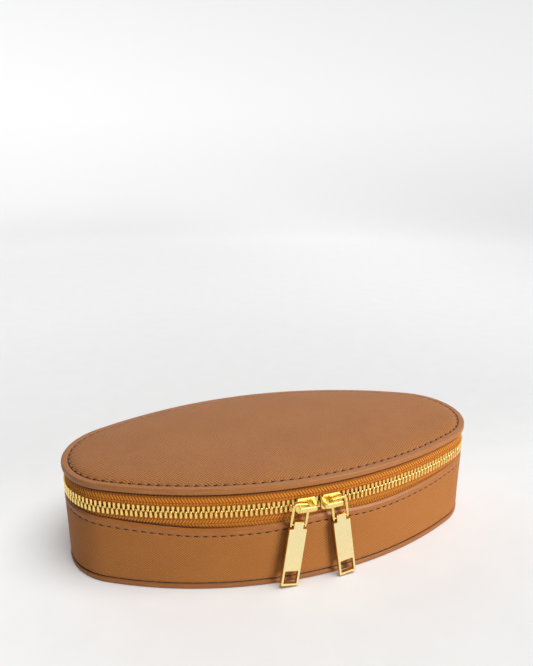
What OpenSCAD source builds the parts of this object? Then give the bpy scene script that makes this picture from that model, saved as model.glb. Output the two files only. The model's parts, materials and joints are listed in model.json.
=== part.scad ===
// Oval zip-around leather jewellery case, millimetres, +Z up.
// Origin: centre of the underside of the base, on the plane it rests on.
// +X is the long axis, -Y the front where the two zip sliders meet, +Y the back
// with the leather hinge. The outline is a four-centre oval, so every wall is a
// true parallel offset of the same four arcs.

/* [Case] */
// Overall length, end to end
case_len = 210; // [190:1:230]
// Overall width, front to back
case_wid = 100; // [92:1:108]
// Radius of the end arcs as a fraction of the half length
end_round = 0.30; // [0.26:0.01:0.34]
// Height of the zip chain's centre line
zip_z = 39.9; // [38:0.1:44]
// Height of the underside of the lid's rim
rim_z = 48.5; // [47:0.1:54]
// Thickness of the lid's rim
rim_h = 2.9; // [2.4:0.1:4]
// Width of the flat rim band on top of the lid
rim_w = 3.3; // [2.8:0.1:5]
// Rise of the padded lid above its rim band
dome_h = 2.2; // [1:0.1:4]

/* [Walls] */
// Height of the side wall's lip at the front
lip_front = 31.3; // [29:0.1:33]
// Height of the side wall's lip from the ends round to the back
lip_back = 36.1; // [34:0.1:36.2]
// Thickness of the base panel
base_h = 2.6; // [2:0.1:4]
// Setback of the side wall behind the rim
wall_in = 0.25; // [0:0.05:0.5]
// Thickness of the outer leather
leather_t = 0.8; // [0.6:0.05:0.85]
// Thickness of the wall's stiffening board
board_t = 1.6; // [1.2:0.1:2]
// Thickness of the lining
lining_t = 0.8; // [0.5:0.1:1]

/* [Zip] */
// Pitch of the teeth along one row
tooth_pitch = 2.2; // [2:0.02:2.5]
// Height of one row of teeth
tooth_h = 2.5; // [2:0.1:2.6]
// Half of the gap between the rows, for the slider's post
row_gap = 0.5; // [0.45:0.05:0.6]
// Thickness of a tooth, front to back
tooth_t = 2.4; // [2:0.1:2.5]
// Thickness of the woven tape
tape_t = 0.6; // [0.5:0.05:0.7]
// Half width of the leather hinge at the back
hinge_hw = 42; // [30:1:50]
// Where the two sliders meet, to the right of the front centre
meet_s = 5.5; // [-10:0.5:10]

/* [Pulls] */
// Length of a slider
slider_len = 10.6; // [9.6:0.1:11]
// Gap between the two sliders
slider_gap = 1.4; // [0.8:0.1:2]
// Diameter of the stirrup wire
wire_d = 1.1; // [0.9:0.05:1.15]
// Distance between the stirrup's legs, centre to centre
stirrup_w = 6.9; // [6.6:0.1:7.1]
// Length of the stirrup from its top bar to its pin
stirrup_len = 9.9; // [9:0.1:10.2]
// Width of the pull tab
tab_w = 8.3; // [8:0.1:8.8]
// Length of the pull tab below its pin
tab_len = 30.2; // [26:0.1:30.5]
// Thickness of the pull tab
tab_t = 1.2; // [1:0.05:1.3]
// Angle at which each pull splays outward
splay = 8; // [4:0.5:10]

/* [Inside] */
// Distance of the two cross dividers from the middle
div_x = 38; // [32:1:44]
// Height of the dividers' top edge
div_top = 28; // [22:1:29]
// Number of ring rolls between the cross dividers
roll_count = 5; // [4:1:5]
// Radius of a ring roll
roll_r = 7.6; // [7:0.1:8]

/* [Hidden] */

a = case_len / 2;
b = case_wid / 2;
r = end_round * a;              // end arc radius
c = a - r;                      // end arc centre, +-X
R = (c*c + b*b - r*r) / (2 * (b - r)); // front and back arc radius
k = R - b;                      // front and back arc centres, +-Y
th = atan2(c, k);               // half angle of the front and back arcs
rim_top = rim_z + rim_h;
tape_d = 1.45;                  // setback of the tape's mid plane
foam_d = wall_in + leather_t + 0.05;
board_d = wall_in + leather_t + tape_t + 0.30;
lin_d = board_d + board_t + 0.05;
in_d = lin_d + lining_t;        // setback of the inside face
Rc = R - tape_d;                // radius of the chain along the front
floor_z = base_h + 1.0;         // inside floor
tan_col = [0.68, 0.47, 0.30];
edge_col = [0.62, 0.42, 0.26];
tape_col = [0.74, 0.44, 0.14];
gold = [0.93, 0.77, 0.42];
velvet = [0.80, 0.70, 0.58];
boardc = [0.55, 0.52, 0.48];

// ---- outline ----
// The case's outline, set in by d.
module oval(d = 0) {
  for (m = [0, 1]) mirror([0, m]) intersection() {
    translate([0, -k]) circle(r = R - d, $fn = 480);
    polygon([[-c, -1], [c, -1], [c, 0], [c + 60*sin(th), 60*cos(th)], [-c - 60*sin(th), 60*cos(th)], [-c, 0]]);
  }
  for (s = [-1, 1]) translate([s*c, 0]) circle(r = r - d, $fn = 240);
}
module ring2(d0, d1) { difference() { oval(d0); oval(d1); } }
module band(d0, d1, z0, z1) { translate([0, 0, z0]) linear_extrude(z1 - z0) ring2(d0, d1); }
module slab(d0, z0, z1) { translate([0, 0, z0]) linear_extrude(z1 - z0) oval(d0); }

// Height of the lip at a given Y: it rises from the front towards the ends.
function lip(y) = y >= 0 ? lip_back : lip_front + (lip_back - lip_front) * pow(1 - pow(y/b, 2), 1.5);
lip_steps = 12;
// Everything below the lip line lowered by dz.
module below_lip(dz, x = 120) {
  rotate([90, 0, 90]) translate([0, 0, -x]) linear_extrude(2*x)
    polygon(concat([[-b - 5, -5]], [[-b - 5, lip(-b) - dz]],
      [for (i = [0:lip_steps]) [-b + b*i/lip_steps, lip(-b + b*i/lip_steps) - dz]],
      [[b + 5, lip_back - dz]], [[b + 5, -5]]));
}
// Everything above the lip line lowered by dz.
module above_lip(dz, x = 120) {
  rotate([90, 0, 90]) translate([0, 0, -x]) linear_extrude(2*x)
    polygon(concat([[-b - 5, 70]], [[-b - 5, lip(-b) - dz]],
      [for (i = [0:lip_steps]) [-b + b*i/lip_steps, lip(-b + b*i/lip_steps) - dz]],
      [[b + 5, lip_back - dz]], [[b + 5, 70]]));
}

// ---- points of the oval, for the padded lid ----
NP = 18; // points per arc
function arc_pts(cx, cy, rad, a0, a1) = [for (i = [0:NP-1]) [cx + rad*cos(a0 + (a1-a0)*i/NP), cy + rad*sin(a0 + (a1-a0)*i/NP)]];
function oval_pts(d) = concat(
  arc_pts(c, 0, r - d, -(90 - th), 90 - th),
  arc_pts(0, -k, R - d, 90 - th, 90 + th),
  arc_pts(-c, 0, r - d, 90 + th, 270 - th),
  arc_pts(0, k, R - d, 270 - th, 270 + th));
function ring_pts(d, t, z) = [for (p = oval_pts(d)) [p[0]*t, p[1]*t, z]];
M = 4*NP;
// A closed solid from a stack of rings, fanned at its first and last ring.
module ring_stack(rows, z_first, z_last) {
  n = len(rows);
  pts = concat([for (row = rows) each row], [[0, 0, z_first], [0, 0, z_last]]);
  faces = concat(
    [for (j = [0:n-2]) for (i = [0:M-1]) each [
      [j*M + i, (j+1)*M + (i+1)%M, j*M + (i+1)%M],
      [j*M + i, (j+1)*M + i, (j+1)*M + (i+1)%M]]],
    [for (i = [0:M-1]) [n*M, i, (i+1)%M]],
    [for (i = [0:M-1]) [n*M + 1, (n-1)*M + (i+1)%M, (n-1)*M + i]]);
  polyhedron(points = pts, faces = faces, convexity = 4);
}
pad_z0 = rim_top - 0.35;       // height of the leather at the stitch line
pad_d = rim_w + 0.1;
function dome(t) = dome_h * (1 - pow(t, 2.6));
dome_ts = [0.93, 0.82, 0.68, 0.5, 0.3, 0.12];

// ---- lid ----
module lid_top_leather() {
  color(tan_col) ring_stack(concat(
    [for (t = [0.12, 0.3, 0.5, 0.68, 0.82, 0.93]) ring_pts(pad_d + 1.0, t, pad_z0 - 1.0 + dome(t))],
    [ring_pts(pad_d + 1.0, 1, pad_z0 - 1.0), ring_pts(pad_d, 1, pad_z0 - 1.0),
     ring_pts(pad_d, 1, pad_z0 - 0.25), ring_pts(pad_d + 0.35, 1, pad_z0)],
    [for (t = dome_ts) ring_pts(pad_d + 1.0, t, pad_z0 + 0.1 + dome(t))]),
    pad_z0 - 1.0 + dome_h, pad_z0 + 0.1 + dome_h);
}
module lid_foam_pad() {
  color(boardc) ring_stack(concat(
    [for (t = [0.12, 0.5, 0.82]) ring_pts(pad_d + 1.0, t, rim_z + 1.55)],
    [ring_pts(pad_d + 1.0, 0.995, rim_z + 1.55), ring_pts(pad_d + 1.0, 0.995, pad_z0 - 1.05)],
    [for (t = dome_ts) ring_pts(pad_d + 1.0, t, pad_z0 - 1.1 + dome(t))]),
    rim_z + 1.55, pad_z0 - 1.1 + dome_h);
}
module lid_board() { color(boardc) slab(0.85, rim_z + 0.5, rim_z + 1.5); }
module lid_rim_binding() {
  color(edge_col) difference() {
    band(0, rim_w, rim_z, rim_top);
    band(0.8, rim_w + 1, rim_z + 0.45, rim_z + 1.55);
  }
}
module lid_stitching() { color(tape_col) band(rim_w + 0.12, rim_w + 0.62, pad_z0 + 0.03, pad_z0 + 0.33); }
module lid_lining() { color(velvet) slab(5.6, rim_z - 2.4, rim_z + 0.45); }

// ---- zip ----
// A point on the chain's line a distance s along it from the front centre.
big_half = Rc * th * PI / 180;
end_len = (r - tape_d) * (180 - 2*th) * PI / 180;
back_gap = asin((hinge_hw + 2.6) / Rc);     // half angle left free at the back
chain_half = big_half + end_len + Rc * (th - back_gap) * PI / 180;
tooth_n = floor(chain_half / tooth_pitch);
// Places children on the chain at distance s, tangent along X, outward along -Y.
module on_chain(s) {
  m = s < 0 ? 1 : 0;
  u = abs(s);
  mirror([m, 0, 0])
    if (u <= big_half) translate([0, k, 0]) rotate(u / Rc * 180 / PI) translate([0, -Rc, 0]) children();
    else if (u <= big_half + end_len) translate([c, 0, 0]) rotate(th + (u - big_half) / (r - tape_d) * 180 / PI) translate([0, -(r - tape_d), 0]) children();
    else translate([0, -k, 0]) rotate(180 - th + (u - big_half - end_len) / Rc * 180 / PI) translate([0, -Rc, 0]) children();
}
module teeth(z0, shift) {
  for (i = [-tooth_n:tooth_n - 1]) on_chain((i + shift) * tooth_pitch)
    translate([-0.6, -tooth_t/2, z0]) cube([1.2, tooth_t, tooth_h]);
}
module zip_teeth_upper() { color(gold) teeth(zip_z + row_gap, 0.25); }
module zip_teeth_lower() { color(gold) teeth(zip_z - row_gap - tooth_h, 0.75); }
module back_cut(hw, z0, z1) { translate([-hw, 0, z0]) cube([2*hw, b + 5, z1 - z0]); }
module zip_tape_upper() {
  color(tape_col) difference() {
    band(tape_d - tape_t/2, tape_d + tape_t/2, zip_z + row_gap + tooth_h, rim_z);
    back_cut(hinge_hw + 0.1, 30, 60);
  }
}
module zip_tape_lower() {
  color(tape_col) difference() {
    band(tape_d - tape_t/2, tape_d + tape_t/2, 22, zip_z - row_gap - tooth_h);
    back_cut(hinge_hw + 0.1, 10, 60);
  }
}
module zip_end_stops() {
  color(gold) for (m = [0, 1]) mirror([m, 0, 0])
    on_chain(chain_half + 1.2) translate([-0.9, -tooth_t/2, zip_z - row_gap - tooth_h]) cube([1.8, tooth_t, 2.4]);
}
module hinge_leather(z0, z1) {
  intersection() {
    band(wall_in, wall_in + leather_t, z0, z1);
    back_cut(hinge_hw, z0 - 1, z1 + 1);
  }
}
module hinge_leather_upper() { color(tan_col) hinge_leather(zip_z + 0.3, rim_z); }
module hinge_leather_lower() { color(tan_col) hinge_leather(lip_back, zip_z - 0.3); }

// ---- base ----
module base_panel_leather() {
  color(edge_col) difference() { slab(0, 0, base_h); slab(0.8, 0.8, base_h + 1); }
}
module base_board() { color(boardc) slab(0.85, 0.85, base_h); }
module body_side_leather() {
  color(tan_col) intersection() { band(wall_in, wall_in + leather_t, base_h, 45); below_lip(3.4); }
}
module body_lip_fold() {
  color(tan_col) intersection() {
    band(wall_in + 0.15, wall_in + leather_t, base_h + 10, 45);
    below_lip(0); above_lip(3.4);
  }
}
module body_stitching() {
  color(tape_col) intersection() {
    band(wall_in - 0.2, wall_in, 20, 45);
    below_lip(3.5); above_lip(3.9);
  }
}
module body_wall_foam() {
  color(boardc) intersection() { band(foam_d, board_d - 0.05, base_h, 21.8); below_lip(2); }
}
module body_wall_board() {
  color(boardc) intersection() { band(board_d, board_d + board_t, base_h, 45); below_lip(1.6); }
}
module lining_wall() {
  color(velvet) intersection() { band(lin_d, in_d, base_h, 45); below_lip(1.2); }
}
module lining_floor() { color(velvet) slab(in_d + 0.05, base_h, floor_z); }
module cross_divider(x) {
  intersection() {
    translate([x - 1.1, -60, floor_z]) cube([2.2, 120, div_top - floor_z]);
    slab(in_d + 0.1, floor_z, div_top);
  }
}
module divider_left() { color(velvet) cross_divider(-div_x); }
module divider_right() { color(velvet) cross_divider(div_x); }
module divider_end() {
  color(velvet) intersection() {
    translate([div_x + 1.2, -1.1, floor_z]) cube([80, 2.2, div_top - 3 - floor_z]);
    slab(in_d + 0.1, floor_z, div_top);
  }
}
// Five soft rolls side by side; rings are pushed into the gaps between them.
module ring_rolls() {
  pitch = 2*roll_r + 0.5;
  color(velvet) for (i = [0:roll_count - 1])
    translate([-div_x + 1.5, (i - (roll_count - 1)/2) * pitch, floor_z + roll_r])
      rotate([0, 90, 0]) cylinder(r = roll_r, h = 2*div_x - 3, $fn = 48);
}

// ---- sliders and pulls, drawn for the left one: outer end towards -X ----
hl = slider_len / 2;
plate_z = 3.9;
module round_rect(x, z, q) {
  square([2*x, 2*(z - q)], center = true);
  square([2*(x - q), 2*z], center = true);
  for (i = [-1, 1], j = [-1, 1]) translate([i*(x - q), j*(z - q)]) circle(r = q, $fn = 32);
}
module plate(x, z, q, y0, y1) {
  translate([0, y1, 0]) rotate([90, 0, 0]) linear_extrude(y1 - y0) round_rect(x, z, q);
}
pillar_x = -3.3;
bar_y0 = -6.2;
bar_y1 = -5.3;
wire_y = -3.9;
top_z = 1.7;      // height of the stirrup's top bar over the chain
tilt_z = 0.6;     // height of the stirrup's tilting axis
module slider_one() {
  plate(hl, plate_z, 1.4, -2.4, -1.5);
  plate(hl - 0.3, plate_z, 1.4, 1.5, 2.3);
  for (y = [-1.5, 0.65]) translate([-hl + 1.4, y, -plate_z]) cube([2*(hl - 1.4), 0.85, 0.5]);
  translate([1.4, -1.6, -0.25]) cube([2.2, 3.2, 0.5]);
  // crown: outer pillar, bar and inner pillar
  translate([pillar_x, -2.3, 0]) rotate([90, 0, 0]) cylinder(r = 0.6, h = 3.2, $fn = 32);
  translate([-4.0, bar_y0, -1.1]) cube([8.9, bar_y1 - bar_y0, 2.2]);
  translate([3.6, bar_y0, -1.1]) cube([1.3, -2.3 - bar_y0, 2.2]);
}
module wire(h) { cylinder(d = wire_d, h = h, $fn = 32); }
bend_r = 1.2;
// U-shaped wire: x0 and x1 are its legs, its ends turn in as the tab's pins.
leg0 = -6.39;
leg1 = leg0 + stirrup_w;
leg_z = top_z - stirrup_len;            // height of the pins
module bend(x, s) {
  translate([x, wire_y, top_z - bend_r]) mirror([s, 0, 0]) rotate([90, 0, 0])
    rotate_extrude(angle = 90, $fn = 64) translate([bend_r, 0]) circle(d = wire_d, $fn = 32);
}
module stirrup_flat() {
  translate([leg0 + bend_r, wire_y, top_z]) rotate([0, 90, 0]) wire(stirrup_w - 2*bend_r);
  bend(leg1 - bend_r, 0);
  bend(leg0 + bend_r, 1);
  for (x = [leg0, leg1]) translate([x, wire_y, leg_z - 1.0]) wire(top_z - bend_r - leg_z + 1.0);
  translate([leg0, wire_y, leg_z]) rotate([0, 90, 0]) cylinder(d = 0.8, h = 1.9, $fn = 32);
  translate([leg1 - 1.9, wire_y, leg_z]) rotate([0, 90, 0]) cylinder(d = 0.8, h = 1.9, $fn = 32);
}
tab_x = (leg0 + leg1) / 2;
tongue_w = 4.6;
module tab_flat() {
  difference() {
    translate([tab_x, wire_y + tab_t/2, leg_z]) rotate([90, 0, 0]) linear_extrude(tab_t) difference() {
      union() {
        translate([-tongue_w/2, -2.2]) square([tongue_w, 4.0]);
        translate([-tab_w/2, -tab_len]) square([tab_w, tab_len - 1.75]);
      }
      translate([-3.1, -tab_len + 1.2]) square([6.2, 6.5]);
    }
    translate([tab_x - 4.5, wire_y, leg_z]) rotate([0, 90, 0]) cylinder(r = 0.45, h = 9, $fn = 32);
  }
}
// Hangs a pull from the crown's outer pillar at its splay angle.
module splayed() { translate([pillar_x, 0, 0]) rotate([0, splay, 0]) translate([-pillar_x, 0, 0]) children(); }
// Puts a left-hand or mirrored right-hand piece at its place on the front arc.
s_left = meet_s - slider_gap/2 - hl;
s_right = meet_s + slider_gap/2 + hl;
module at_left() { translate([0, k, zip_z]) rotate(s_left / Rc * 180 / PI) translate([0, -Rc, 0]) children(); }
module at_right() { translate([0, k, zip_z]) rotate(s_right / Rc * 180 / PI) translate([0, -Rc, 0]) mirror([1, 0, 0]) children(); }
module slider_left() { color(gold) at_left() slider_one(); }
module slider_right() { color(gold) at_right() slider_one(); }
module stirrup_left() { color(gold) at_left() splayed() stirrup_flat(); }
module stirrup_right() { color(gold) at_right() splayed() stirrup_flat(); }
module pull_tab_left() { color(gold) at_left() splayed() tab_flat(); }
module pull_tab_right() { color(gold) at_right() splayed() tab_flat(); }

lid_top_leather();
lid_foam_pad();
lid_board();
lid_rim_binding();
lid_stitching();
lid_lining();
zip_tape_upper();
zip_teeth_upper();
hinge_leather_upper();
base_panel_leather();
base_board();
body_side_leather();
body_lip_fold();
body_stitching();
body_wall_foam();
body_wall_board();
lining_wall();
lining_floor();
divider_left();
divider_right();
divider_end();
ring_rolls();
zip_tape_lower();
zip_teeth_lower();
zip_end_stops();
hinge_leather_lower();
slider_left();
slider_right();
stirrup_left();
stirrup_right();
pull_tab_left();
pull_tab_right();
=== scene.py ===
import json
import math

import bmesh
import bpy
import numpy as np
from mathutils import Matrix, Vector

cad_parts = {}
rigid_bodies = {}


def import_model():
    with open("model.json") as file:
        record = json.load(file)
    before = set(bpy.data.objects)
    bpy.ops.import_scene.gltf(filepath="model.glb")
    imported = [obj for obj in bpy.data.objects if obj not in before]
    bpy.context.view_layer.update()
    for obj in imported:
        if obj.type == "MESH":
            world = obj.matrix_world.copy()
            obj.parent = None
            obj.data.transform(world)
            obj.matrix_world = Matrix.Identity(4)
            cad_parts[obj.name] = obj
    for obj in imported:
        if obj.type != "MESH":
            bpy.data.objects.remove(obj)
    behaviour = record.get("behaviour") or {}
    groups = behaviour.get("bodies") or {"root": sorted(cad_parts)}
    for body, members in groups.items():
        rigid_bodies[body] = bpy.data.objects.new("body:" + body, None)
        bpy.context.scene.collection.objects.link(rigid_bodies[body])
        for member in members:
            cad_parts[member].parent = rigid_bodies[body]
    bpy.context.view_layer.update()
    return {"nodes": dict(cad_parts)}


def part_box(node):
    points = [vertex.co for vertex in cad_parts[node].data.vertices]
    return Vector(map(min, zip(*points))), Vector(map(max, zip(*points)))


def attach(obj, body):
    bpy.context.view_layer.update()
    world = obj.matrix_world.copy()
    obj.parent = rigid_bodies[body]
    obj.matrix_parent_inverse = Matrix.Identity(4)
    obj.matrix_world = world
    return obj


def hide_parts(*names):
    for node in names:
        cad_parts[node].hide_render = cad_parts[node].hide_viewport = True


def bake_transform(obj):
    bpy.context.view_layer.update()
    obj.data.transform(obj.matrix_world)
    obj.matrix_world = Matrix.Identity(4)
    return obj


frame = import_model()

MM = 0.001
scene = bpy.context.scene
NODES = frame["nodes"]

# ------------------------------------------------------------------ outline
# The four-centre oval of the case, millimetres. s runs along the line set in
# by ds from the front centre, positive towards +X.
A, B = 105.0, 50.0
r = 0.30 * A
c = A - r
R = (c * c + B * B - r * r) / (2 * (B - r))
K = R - B
TH = math.atan2(c, K)
TAPE_D = 1.45
LIP_F, LIP_B = 31.3, 36.1
RIM_Z, RIM_TOP = 48.5, 51.4
ZIP_Z = 39.9
HINGE = 42.0


def half(ds=0.0):
    return 2 * (R - ds) * TH + (r - ds) * (math.pi - 2 * TH)


def outline(s, d, ds=0.0):
    """Position and outward normal at s, set in by d."""
    s, d = np.broadcast_arrays(np.asarray(s, float), np.asarray(d, float))
    H = half(ds)
    s = (s + H) % (2 * H) - H
    u = np.abs(s)
    sg = np.where(s < 0, -1.0, 1.0)
    lb = (R - ds) * TH
    le = (r - ds) * (math.pi - 2 * TH)
    front, end = u <= lb, (u > lb) & (u <= lb + le)
    phi = np.where(front, u / (R - ds), np.where(end, TH + (u - lb) / (r - ds), math.pi - TH + (u - lb - le) / (R - ds)))
    cx = np.where(end, c, 0.0)
    cy = np.where(front, K, np.where(end, 0.0, -K))
    rad = np.where(end, r, R)
    nx, ny = np.sin(phi), -np.cos(phi)
    return sg * (cx + (rad - d) * nx), cy + (rad - d) * ny, sg * nx, ny


def lip(y):
    y = np.asarray(y, float)
    return np.where(y >= 0, LIP_B, LIP_F + (LIP_B - LIP_F) * np.clip(1 - (y / B) ** 2, 0, 1) ** 1.5)


def lip_at(s, y):
    """The lip's height: the leather is lifted a little where the sliders meet and sags beside them."""
    return lip(y) + 1.9 * np.exp(-((s - 8) / 17) ** 2) * (y < 0) - 0.6 * np.exp(-((s + 46) / 18) ** 2) * (y < 0)


def sm(x, a, b):
    t = np.clip((np.asarray(x, float) - a) / (b - a), 0, 1)
    return t * t * (3 - 2 * t)


def wobble(s, seed, waves=((2, 1.0), (3, .7), (5, .5), (9, .35), (14, .25)), H=None):
    """A smooth, closed, repeatable unevenness along the outline, about -1 to 1."""
    H = H or half()
    g = np.random.default_rng(seed)
    out = np.zeros_like(np.asarray(s, float))
    for n, w in waves:
        out = out + w * np.sin(math.pi * n * np.asarray(s) / H + g.uniform(0, 2 * math.pi))
    return out / 1.8


# ------------------------------------------------------------------ meshes
def new_mesh(name, verts, faces, uvs=None, smooth=True, mats=None, recalc=True, auto=None):
    """verts in mm, faces as lists, uvs one (u, v) in mm for each loop."""
    me = bpy.data.meshes.new(name)
    me.from_pydata((np.asarray(verts, float) * MM).tolist(), [], [list(map(int, f)) for f in faces])
    if uvs is not None:
        layer = me.uv_layers.new(name="mm")
        layer.data.foreach_set("uv", np.asarray(uvs, np.float32).ravel())
    if recalc:
        bm = bmesh.new()
        bm.from_mesh(me)
        bmesh.ops.recalc_face_normals(bm, faces=bm.faces)
        bm.to_mesh(me)
        bm.free()
    me.update()
    if smooth:
        me.polygons.foreach_set("use_smooth", [True] * len(me.polygons))
    if mats is not None:
        me.polygons.foreach_set("material_index", np.asarray(mats, np.int32))
    ob = bpy.data.objects.new(name, me)
    scene.collection.objects.link(ob)
    if auto is not None:
        me.set_sharp_from_angle(angle=math.radians(auto))
    return ob


def box_uv(ob, scale=1000.0):
    """Millimetre UVs projected from the side that each face looks to."""
    me = ob.data
    layer = me.uv_layers.get("mm") or me.uv_layers.new(name="mm")
    nv = len(me.vertices)
    co = np.zeros(nv * 3, np.float32)
    me.vertices.foreach_get("co", co)
    co = co.reshape(-1, 3) * scale
    uv = np.zeros((len(me.loops), 2), np.float32)
    for p in me.polygons:
        n = p.normal
        ax = max(range(3), key=lambda i: abs(n[i]))
        o = [i for i in range(3) if i != ax]
        for li in p.loop_indices:
            v = co[me.loops[li].vertex_index]
            uv[li] = (v[o[0]], v[o[1]])
    layer.data.foreach_set("uv", uv.ravel())


def sweep(name, s, D, Z, closed_s=True, closed_p=True, ds=0.0, uv_v=None, caps=False, **kw):
    """A surface swept round the outline. D and Z are profiles, (M,) or (N, M)."""
    s = np.asarray(s, float)
    N = len(s)
    D = np.broadcast_to(np.asarray(D, float), (N, np.shape(D)[-1]))
    Z = np.broadcast_to(np.asarray(Z, float), (N, np.shape(Z)[-1]))
    M = D.shape[1]
    x, y, nx, ny = outline(s[:, None], D, ds)
    verts = np.stack([x, y, Z], -1).reshape(-1, 3)
    H = half(ds)
    step = np.sqrt(np.diff(D, axis=1) ** 2 + np.diff(Z, axis=1) ** 2)
    V = np.concatenate([np.zeros((N, 1)), np.cumsum(step, 1)], 1).mean(0)
    V = np.append(V, V[-1] + np.sqrt((D[0, -1] - D[0, 0]) ** 2 + (Z[0, -1] - Z[0, 0]) ** 2))
    if uv_v is not None:
        V = np.asarray(uv_v, float)
    U = np.append(s, 2 * H + s[0]) if closed_s else s
    faces, uvs = [], []
    ns = N if closed_s else N - 1
    mp = M if closed_p else M - 1
    for i in range(ns):
        i2 = (i + 1) % N
        for j in range(mp):
            j2 = (j + 1) % M
            faces.append((i * M + j, i2 * M + j, i2 * M + j2, i * M + j2))
            uvs += [(U[i], V[j]), (U[i + 1], V[j]), (U[i + 1], V[j + 1]), (U[i], V[j + 1])]
    if caps and not closed_s:
        for i in (0, N - 1):
            faces.append([i * M + j for j in range(M)])
            uvs += [(D[i, j], Z[i, j]) for j in range(M)]
    return new_mesh(name, verts, faces, uvs, **kw)


def curve_profile(points, n):
    """A smooth open profile through the points (Catmull-Rom), n samples a span."""
    P = [np.array(p, float) for p in points]
    P = [2 * P[0] - P[1]] + P + [2 * P[-1] - P[-2]]
    out = []
    for i in range(1, len(P) - 2):
        for k in range(n):
            t = k / n
            out.append(0.5 * ((2 * P[i]) + (-P[i - 1] + P[i + 1]) * t + (2 * P[i - 1] - 5 * P[i] + 4 * P[i + 1] - P[i + 2]) * t * t
                              + (-P[i - 1] + 3 * P[i] - 3 * P[i + 1] + P[i + 2]) * t ** 3))
    out.append(P[-2])
    return np.array(out)


def ring_fan(name, rings, **kw):
    """A closed solid from rings (each K points, mm), with a fan at its first and last ring."""
    rings = [np.asarray(g, float) for g in rings]
    Kn = len(rings[0])
    verts = np.concatenate(rings + [rings[0].mean(0)[None], rings[-1].mean(0)[None]])
    n = len(rings)
    faces = []
    for j in range(n - 1):
        for i in range(Kn):
            i2 = (i + 1) % Kn
            faces.append((j * Kn + i, j * Kn + i2, (j + 1) * Kn + i2, (j + 1) * Kn + i))
    for i in range(Kn):
        i2 = (i + 1) % Kn
        faces.append((n * Kn, i2, i))
        faces.append((n * Kn + 1, (n - 1) * Kn + i, (n - 1) * Kn + i2))
    uvs = [(verts[v][0], verts[v][1]) for f in faces for v in f]
    return new_mesh(name, verts, faces, uvs, **kw)


def apply_mods(ob):
    """The object's mesh with its modifiers applied."""
    bpy.context.view_layer.update()
    dg = bpy.context.evaluated_depsgraph_get()
    me = bpy.data.meshes.new_from_object(ob.evaluated_get(dg), preserve_all_data_layers=True, depsgraph=dg)
    old = ob.data
    ob.modifiers.clear()
    ob.data = me
    me.name = old.name
    bpy.data.meshes.remove(old)
    return ob


def transform(ob, fn):
    """Moves every vertex through fn, which takes and gives (n, 3) in mm."""
    me = ob.data
    co = np.zeros(len(me.vertices) * 3, np.float32)
    me.vertices.foreach_get("co", co)
    co = fn(co.reshape(-1, 3).astype(float) / MM) * MM
    me.vertices.foreach_set("co", co.astype(np.float32).ravel())
    me.update()
    return ob


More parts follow.
